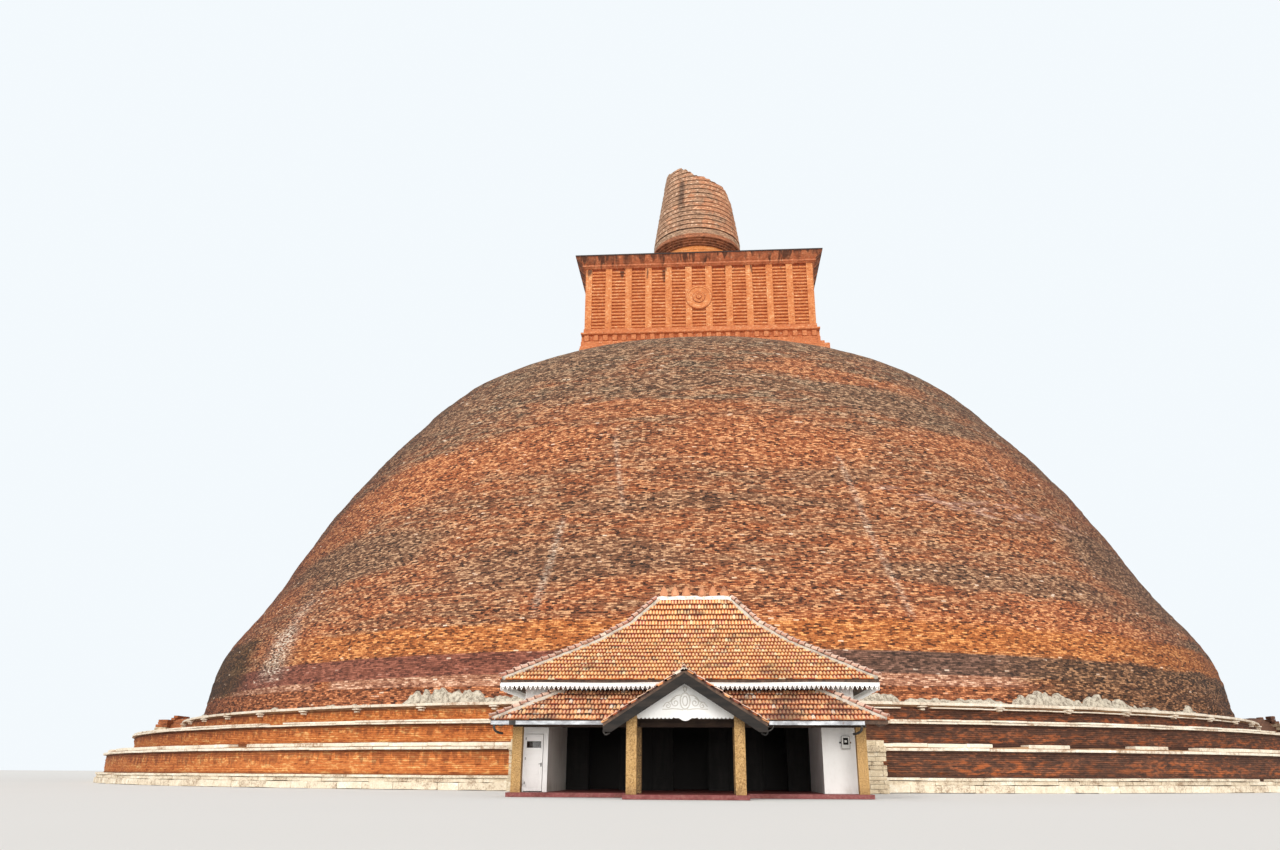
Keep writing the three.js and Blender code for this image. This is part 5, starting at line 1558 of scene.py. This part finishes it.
def lace_board(pile, start, end, out, rng):
    """A white board with a row of pierced teeth below it."""
    top, body, foot, thick = 4.09, 3.965, 3.80, 0.03
    start, end, out = (np.array(v, float) for v in (start, end, out))
    length = np.linalg.norm(end - start)
    along = (end - start) / length
    number = int(round(length / 0.18))
    pitch = length / number
    outer, inner = lace_tooth(pitch, body + 0.002, body - foot, 0.026)
    made = []
    for k in range(number):
        middle = start + along * pitch * (k + 0.5)
        sway = 0.012 * math.sin(k * 0.21) + rng.uniform(-0.004, 0.004)
        short = rng.uniform(0, 0.012)
        rings = []
        for depth in (0.0, thick):
            for ring in (outer, inner):
                rings.append(np.array([middle + along * u * 0.86 + out * (depth + sway * 0.3)
                                       + (0, 0, z + sway + short * (z < body - 0.02)) for u, z in ring]))
        made.append(np.concatenate(rings))
    faces = []
    for i in range(16):
        j = (i + 1) % 16
        faces += [(i, j, 16 + j, 16 + i), (32 + i, 48 + i, 48 + j, 32 + j), (i, 32 + i, 32 + j, j),
                  (16 + i, 16 + j, 48 + j, 48 + i)]
    pile.copies(np.array(made), faces)
    steps = np.linspace(0, length, number * 2)
    path = np.array([start + along * s + (0, 0, body - 0.005 + 0.012 * math.sin(s / pitch * 0.21))
                     for s in steps])
    section = [(0, 0), (thick, 0), (thick, 0.09), (thick + 0.015, 0.10), (thick + 0.015, top - body),
               (0, top - body)]
    pile.grid(np.array([[p + out * a + (0, 0, b) for a, b in section] for p in path]))


def make_lace():
    """The pierced board below the eaves, on all four sides."""
    pile = Pile()
    rng = np.random.default_rng(37)
    x0, x1 = EAVES["x"] - EAVES["half"] + 0.02, EAVES["x"] + EAVES["half"] - 0.02
    y0, y1 = EAVES["front"] + 0.02, EAVES["back"] - 0.02
    for start, end, out in (((x0, y0, 0), (x1, y0, 0), (0, -1, 0)), ((x1, y1, 0), (x0, y1, 0), (0, 1, 0)),
                            ((x0, y1, 0), (x0, y0, 0), (-1, 0, 0)), ((x1, y0, 0), (x1, y1, 0), (1, 0, 0))):
        lace_board(pile, start, end, out, rng)
    piece(pile, "lace_fascia", [LACE], stands_for=["eaves_fascia"], crease=35)


def scroll(middle, start, turns, size, lean=1):
    """A flat spiral, drawn in the gable's face."""
    points = []
    for t in np.linspace(0, 1, 26):
        a = math.radians(start + turns * 360 * t * lean)
        r = size * (1 - 0.82 * t)
        points.append((middle[0] + r * math.cos(a), middle[1] + r * math.sin(a)))
    return points


def make_gable():
    """The gable's toothed board, and the scrollwork on its face."""
    slope = (PORCH_RIDGE_Z - PORCH_EAVE_Z) / PORCH_HALF
    half, foot, y0, y1 = 1.687, 2.62, -67.725, -67.675
    under = PORCH_RIDGE_Z - 0.103
    outline = []
    teeth = 24
    for k in range(teeth):
        x0 = -half + 2 * half * k / teeth
        pitch = 2 * half / teeth
        if abs(x0 + pitch / 2) < 0.42:
            continue
        for share, drop in ((0.0, 0.0), (0.2, 0.035), (0.5, 0.05), (0.8, 0.035)):
            outline.append((x0 + share * pitch, foot + 0.05 - drop))
        if k == teeth // 2 - 4:
            for x, drop in ((-0.42, 0.0), (-0.34, 0.03), (-0.24, 0.02), (-0.18, 0.05), (-0.1, 0.10),
                            (0.0, 0.12), (0.1, 0.10), (0.18, 0.05), (0.24, 0.02), (0.34, 0.03), (0.42, 0.0)):
                outline.append((x, foot + 0.05 - drop))
    outline += [(half, foot + 0.05), (half, under - slope * half), (0, under), (-half, under - slope * half)]
    pile = Pile()
    prism(pile, [(PORCH_X + x, z) for x, z in outline], y0, y1, "xzy")
    face = y0 - 0.006
    # The scrollwork is drawn in its second finish: the board's white painted greyer, as painted shade on the
    # relief.
    draw = lambda points, width: rail(pile, [(PORCH_X + x, face, z) for x, z in points], circle(width, 6), 1,
                                      sky=(0, -1, 0))
    oval = [(0.17 * math.cos(a), 3.22 + 0.27 * math.sin(a)) for a in np.linspace(0, 2 * math.pi, 29)]
    draw(oval, 0.022)
    draw([(0.085 * math.cos(a), 3.22 + 0.16 * math.sin(a)) for a in np.linspace(0, 2 * math.pi, 21)], 0.018)
    for way in (-1, 1):
        draw(scroll((way * 0.34, 3.16), 90, 1.4, 0.15, -way), 0.018)
        draw(scroll((way * 0.60, 3.06), 90, 1.2, 0.10, way), 0.016)
        draw([(way * x, z) for x, z in ((0.16, 3.42), (0.30, 3.40), (0.42, 3.32), (0.52, 3.20), (0.66, 3.16),
                                        (0.78, 3.02))], 0.016)
        draw([(way * x, z) for x, z in ((0.06, 2.92), (0.24, 2.95), (0.44, 2.96), (0.64, 2.94),
                                        (0.80, 2.94))], 0.016)
        draw([(way * x, z) for x, z in ((0.0, 3.52), (0.06, 3.60), (0.05, 3.66), (0.0, 3.72))], 0.016)
        inset = half - 0.05
        draw([(way * inset, 2.76), (way * inset, under - slope * inset - 0.10), (0.0, under - 0.12)], 0.02)
    piece(pile, "gable_scrollwork", [LACE, SCROLL_SHADE], stands_for=["gable_board"],
          crease=40)


def panelled_leaf(pile, left, right, face, foot, top, panels):
    """Stiles, rails and raised fields on the face of a leaf."""
    rail_width, edge, low_y, high_y = 0.07, 0.045, face - 0.018, face
    lows = [(left, low_y, foot), (right - rail_width, low_y, foot)]
    highs = [(left + rail_width, high_y, top), (right, high_y, top)]
    heights = np.interp(np.linspace(0, 1, panels + 1), [0, 1], [foot, top - rail_width])
    for z in heights:
        lows.append((left + rail_width, low_y, z))
        highs.append((right - rail_width, high_y, z + rail_width))
    boxes(pile, lows, highs)
    for z0, z1 in zip(heights, heights[1:]):
        x0, x1 = left + rail_width + edge, right - rail_width - edge
        low_z, high_z = z0 + rail_width + edge, z1 - edge
        if x1 - x0 > 0.03 and high_z - low_z > 0.03:
            chamfered(pile, (x0, low_y, low_z), (x1, high_y, high_z), 0.006)


DOORWAYS = {"left": (-5.4495, -2.3145), "middle": (-1.7835, 1.5235), "right": (2.0545, 4.8945)}
LEAF_FACE, LEAF_WIDTH, LEAF_FRAME, LEAF_TOP, FLOOR = -59.0, 0.787, 0.10, 2.769, 0.15


def make_hall_leaves():
    """Panelling on the two leaves of each doorway, on their faces and their edges, and a head above."""
    for name, (left, right) in DOORWAYS.items():
        pile = Pile()
        for x, way in ((left + 0.003, 1), (right - 0.003, -1)):
            near, far = x + way * LEAF_FRAME, x + way * (LEAF_FRAME + LEAF_WIDTH - 0.06)
            panelled_leaf(pile, min(near, far), max(near, far), LEAF_FACE, FLOOR + 0.02, LEAF_TOP - 0.02, 5)
            side = x + way * (LEAF_FRAME + LEAF_WIDTH)
            heights = np.linspace(FLOOR + 0.05, LEAF_TOP - 0.12, 6)
            low_x, high_x = sorted((side, side + way * 0.018))
            boxes(pile, [(low_x, LEAF_FACE + 0.06, z) for z in heights],
                  [(high_x, LEAF_FACE + 0.76, z + 0.07) for z in heights])
            boxes(pile, [(low_x, LEAF_FACE + y, FLOOR + 0.02) for y in (0.06, 0.69)],
                  [(high_x, LEAF_FACE + y + 0.07, LEAF_TOP - 0.02) for y in (0.06, 0.69)])
        chamfered(pile, (left + 0.01, LEAF_FACE - 0.03, LEAF_TOP + 0.02), (right - 0.01, LEAF_FACE, 2.9),
                  0.01)
        piece(pile, f"hall_{name}_leaf_panels", [LEAVES], crease=30)


def make_store_door():
    """The store door's panels, pane and handle. What is on its face keeps clear of the hinge's line."""
    left, face = STORE_HINGE, SHRINE_FRONT
    right, foot, top, clear, edge = left + 0.69, 0.18, 2.222, 0.012, 0.075
    trim = Pile()
    lows = [(left + clear, face - 0.012, foot), (right - edge, face - 0.012, foot)]
    highs = [(left + edge, face, 1.66), (right, face, 1.66)]
    for z in (foot, 0.62, 1.16, 1.56):
        lows.append((left + edge, face - 0.012, z))
        highs.append((right - edge, face, z + 0.085))
    boxes(trim, lows, highs)
    for z0, z1 in ((0.705, 1.16), (1.245, 1.56), (0.265, 0.62)):
        chamfered(trim, (left + edge + 0.05, face - 0.01, z0 + 0.045),
                  (right - edge - 0.05, face, z1 - 0.045), 0.004)
    window = [(left + 0.045, face - 0.018, 1.708), (right - 0.045, face - 0.018, 1.952),
              (left + 0.045, face - 0.018, 1.708), (right - 0.065, face - 0.018, 1.708)]
    boxes(trim, window, [(right - 0.045, face, 1.728), (right - 0.045, face, 1.985),
                         (left + 0.065, face, 1.985), (right - 0.045, face, 1.985)])
    boxes(trim, [(left + clear, face - 0.012, 2.10)], [(right, face, top)])
    piece(trim, "store_door_panels", [DOOR_PAINT], body="store_door", crease=30)
    pane = Pile()
    boxes(pane, [(left + 0.062, face + 0.008, 1.725)], [(right - 0.062, face + 0.019, 1.97)])
    boxes(pane, [((left + right) / 2 - 0.008, face - 0.004, 1.725)],
          [((left + right) / 2 + 0.008, face + 0.01, 1.97)])
    piece(pane, "store_door_pane", [PANE], body="store_door")
    handle = Pile()
    x, z = right - 0.045, 1.12
    chamfered(handle, (x - 0.02, face - 0.024, z - 0.07), (x + 0.02, face - 0.012, z + 0.07), 0.004)
    path = [(x, face - 0.02, z + 0.03), (x, face - 0.05, z + 0.03), (x - 0.02, face - 0.06, z + 0.03),
            (x - 0.09, face - 0.06, z + 0.025)]
    rail(handle, path, circle(0.009, 8), sky=(0, 0.2, 1))
    for hz in (0.42, 1.30, 2.02):
        rail(handle, [(left + 0.026, face - 0.014, hz), (left + 0.026, face - 0.014, hz + 0.09)],
             circle(0.012, 8), sky=(0, 1, 0))
    piece(handle, "store_door_handle", [DARK_METAL], body="store_door", crease=40)


BATTEN_TOP = 4.45


def rafter(pile, x, deep, *ends):
    """A rafter from one (y, height of its top) to another."""
    pile.grid(np.array([[(x - 0.03, y, z - deep), (x + 0.03, y, z - deep), (x + 0.03, y, z), (x - 0.03, y, z)]
                        for y, z in ends]))


def make_battens_and_rafters():
    """The battens on the upper walls, and the rafters below both roofs' eaves."""
    battens = Pile()
    for way, wall_x in ((-1, -6.45), (1, 6.21)):
        for x in np.arange(4.3, 6.2, 0.36):
            foot = 3.05 if x > 5.6 else 3.35
            low, high = (way * x - 0.02, SHRINE_FRONT - 0.022), (way * x + 0.02, SHRINE_FRONT)
            chamfered(battens, (*low, foot), (*high, BATTEN_TOP), 0.005)
        for y in np.arange(-63.9, -55.2, 0.72):
            low, high = sorted((wall_x - way * 0.005, wall_x + way * 0.022))
            chamfered(battens, (low, y - 0.02, 3.0), (high, y + 0.02, BATTEN_TOP), 0.005)
    piece(battens, "upper_wall_battens", [WALLS], crease=30)

    rafters = Pile()
    for x in np.arange(-6.9, 6.9, 0.55):
        for y_eave, way in ((EAVES["front"], 1), (EAVES["back"], -1)):
            rafter(rafters, x, 0.10, *((y, 4.053 + abs(y - y_eave) * 0.5834)
                                       for y in (y_eave + way * 0.08, y_eave + way * 0.72)))
        if 2.6 < abs(x - PORCH_X) and abs(x) < 6.3:
            drop = max(0, abs(x) - 6.2) * 0.42
            rafter(rafters, x, 0.09, *((y, verandah_z(y) - 0.144 - drop)
                                       for y in (VERANDAH["front"] + 0.06, -65.39)))
    piece(rafters, "eaves_rafters", [BEAM], crease=30)


def make_gutter_fittings():
    """Clips round the gutters, a sleeve on the left one, and the bent brackets and outlets at their ends."""
    clips = Pile()
    y, top, size = -66.203, 2.62, 0.13
    for x0, x1 in ((-7.3, -3.02), (2.86, 6.25)):
        for x in np.arange(x0 + 0.2, x1, 0.39):
            boxes(clips, [(x - 0.012, y - size - 0.008, top - size - 0.008),
                          (x - 0.012, y - size - 0.008, top - size - 0.008),
                          (x - 0.012, y - size - 0.008, top - 0.004)],
                  [(x + 0.012, y - size, top + 0.006), (x + 0.012, y, top - size),
                   (x + 0.012, y, top + 0.006)])
    piece(clips, "gutter_clips", [ZINC], crease=30)

    ends = Pile()
    boxes(ends, [(-6.62, y - size - 0.012, top - size - 0.012)], [(-6.38, y + 0.004, top + 0.004)])
    front, low = y - 0.065, top - size
    for x, way in ((-3.02, 1), (2.86, -1)):
        loop = [(x - way * 0.16, front, low + 0.01), (x - way * 0.10, front, low - 0.13),
                (x + way * 0.06, front - 0.02, low - 0.21), (x + way * 0.20, front, low - 0.12),
                (x + way * 0.14, front, low - 0.02), (x + way * 0.02, front, low - 0.07)]
        rail(ends, smooth_line(loop, 22), circle(0.026, 8), sky=(0, 1, 0))
    for x, way in ((-7.18, 1), (6.14, -1)):
        elbow = [(x, front, low + 0.01), (x, front, low - 0.12), (x + way * 0.05, front + 0.04, low - 0.22),
                 (x + way * 0.16, front + 0.16, low - 0.28), (x + way * 0.26, front + 0.3, low - 0.30)]
        rail(ends, smooth_line(elbow, 14), circle(0.045, 10), sky=(1, 0, 0))
        rail(ends, [(x, front, low - 0.05), (x, front, low - 0.01)], circle(0.06, 10), sky=(1, 0, 0))
    for way in (-1, 1):
        x = PORCH_X + way * 2.72
        path = [(x, PORCH_FRONT + 0.3, 2.34), (x + way * 0.1, PORCH_FRONT + 0.3, 2.20),
                (x + way * 0.02, PORCH_FRONT + 0.3, 2.08), (x - way * 0.12, PORCH_FRONT + 0.3, 2.14)]
        rail(ends, smooth_line(path, 14), circle(0.03, 8), sky=(0, 1, 0))
    piece(ends, "gutter_brackets", [DARK_METAL], crease=50)


def make_meter_box():
    """The meter box's lid with its frame, window and lock, and its two lugs on the wall."""
    meter = Pile()
    x, z, face = 5.79, 1.953, -64.35
    chamfered(meter, (x - 0.16, face - 0.02, z - 0.235), (x + 0.16, face, z + 0.235), 0.008, 2)
    for way in (-1, 1):
        lug = x + way * 0.185
        chamfered(meter, (lug - 0.035, SHRINE_FRONT - 0.03, z - 0.03), (lug + 0.035, SHRINE_FRONT, z + 0.03),
                  0.006, 2)
    chamfered(meter, (x - 0.145, face - 0.032, z - 0.22), (x + 0.145, face - 0.02, z + 0.22), 0.004)
    boxes(meter, [(x - 0.095, face - 0.036, z - 0.08)], [(x + 0.095, face - 0.031, z + 0.17)], 1)
    chamfered(meter, (x - 0.045, face - 0.040, z), (x + 0.045, face - 0.035, z + 0.08), 0.002)
    piece(meter, "meter_box_lid", [METER_PAINT, LEAVES, DARK_METAL], crease=30)


def dress_cad_nodes():
    """The solids that stay get their finishes, and the worn edges of what they are made of."""
    looks = {BASE_BRICK: ["tower_body"], PLINTH_PAINT: ["shrine_plinth"],
             WALLS: ["shrine_back_wall", "shrine_left_wall", "shrine_right_wall", "meter_room_wall",
                     "front_upper_wall"], STORE_SIDE: ["store_side_wall"], INNER_WALL: ["hall_wall"],
             LEAVES: ["hall_doors_left", "hall_doors_middle", "hall_doors_right"],
             DOOR_PAINT: ["store_door_frame", "store_door"], METER_PAINT: ["meter_box"],
             OCHRE: ["column_outer_left", "column_outer_right", "column_porch_left", "column_porch_right"],
             INNER_OCHRE: ["column_inner_left", "column_inner_right"], BEAM: ["verandah_beam"],
             BOARDING: ["roof_front_slope", "roof_back_slope", "roof_left_slope", "roof_right_slope",
                        "verandah_roof_left", "verandah_roof_right", "porch_roof"],
             BARGE: ["porch_bargeboards"], ZINC: ["gutter_left", "gutter_right"], }
    worn = {"shrine_plinth": 0.0025, "porch_bargeboards": 0.001, "verandah_beam": 0.001, "store_door": 0.0004,
            "meter_box": 0.001, "store_door_frame": 0.0004,
            **{name: 0.0025 for name in NODES if name.startswith("column_")}}
    for look, names in looks.items():
        for name in names:
            node = NODES[name]
            node.data.materials.clear()
            node.data.materials.append(look)
            if name in worn:
                edge = node.modifiers.new("worn_edges", "BEVEL")
                edge.width, edge.segments, edge.limit_method = worn[name], 2, "ANGLE"


# ---------------------------------------------------------------- floor, light and camera


def make_stage():
    """The floor, a pale sky that lights less than it shows, and three soft suns."""
    mesh = bpy.data.meshes.new("studio_floor")
    mesh.from_pydata([(x * 400, y * 400, -0.001) for x, y in ((-1, -1), (1, -1), (1, 1), (-1, 1))], [],
                     [(0, 1, 2, 3)])
    floor = bpy.data.objects.new("studio_floor", mesh)
    bpy.context.scene.collection.objects.link(floor)
    plain = Finish("studio_floor", 0.95)
    floor.data.materials.append(plain.done(tint(noise(plain.place, 0.5), (228, 226, 222), (232, 230, 227))))

    world = bpy.data.worlds.new("studio")
    bpy.context.scene.world = world
    world.use_nodes = True
    tree = world.node_tree
    back = tree.nodes["Background"]
    back.inputs[0].default_value = (0.95, 0.975, 1.0, 1)
    back.inputs[1].default_value = 0.55
    seen = put("Background", (0.90, 0.95, 0.985, 1), 1.0, tree=tree)
    rays = put("LightPath", tree=tree, give="Is Camera Ray")
    feed(tree.nodes["World Output"].inputs[0], put("MixShader", rays, Wire(back.outputs[0]), seen))

    for name, energy, softness, tilt, turn in (("key", 1.3, 24, 48, -28), ("fill", 0.4, 60, 60, 50),
                                               ("front", 1.95, 40, 78, 6)):
        lamp = bpy.data.lights.new(name, "SUN")
        lamp.energy, lamp.angle, lamp.color = energy, math.radians(softness), (1.0, 0.975, 0.94)
        light = bpy.data.objects.new(name, lamp)
        light.rotation_euler = (math.radians(tilt), 0, math.radians(turn))
        bpy.context.scene.collection.objects.link(light)


def make_camera():
    """The photograph's view, fitted to the shrine's plan."""
    pitch, yaw, roll = (math.radians(a) for a in (19.9458, -4.0686, 0.3044))
    ahead = Vector((math.sin(yaw) * math.cos(pitch), math.cos(yaw) * math.cos(pitch), math.sin(pitch)))
    right = Vector((math.cos(yaw), -math.sin(yaw), 0))
    up = right.cross(ahead)
    right = right * math.cos(roll) + up * math.sin(roll)
    up = right.cross(ahead)
    lens = bpy.data.cameras.new("camera")
    lens.lens, lens.sensor_width, lens.clip_start, lens.clip_end = 27.0, 36.0, 0.01, 1000
    camera = bpy.data.objects.new("camera", lens)
    camera.matrix_world = Matrix((right, up, -ahead)).transposed().to_4x4()
    camera.location = (0.07206, -10.27065, 0.0826)
    bpy.context.scene.collection.objects.link(camera)
    bpy.context.scene.camera = camera


bpy.context.scene.view_settings.view_transform = "Standard"
make_camera()
make_stage()
make_dome()
make_terraces()
make_dome_foot()
make_frontispieces()
make_railings()
make_tower()
make_spire()
make_upper_roof()
make_ridge()
make_lower_roofs()
make_lace()
make_gable()
make_hall_leaves()
make_store_door()
make_meter_box()
make_gutter_fittings()
make_battens_and_rafters()
dress_cad_nodes()
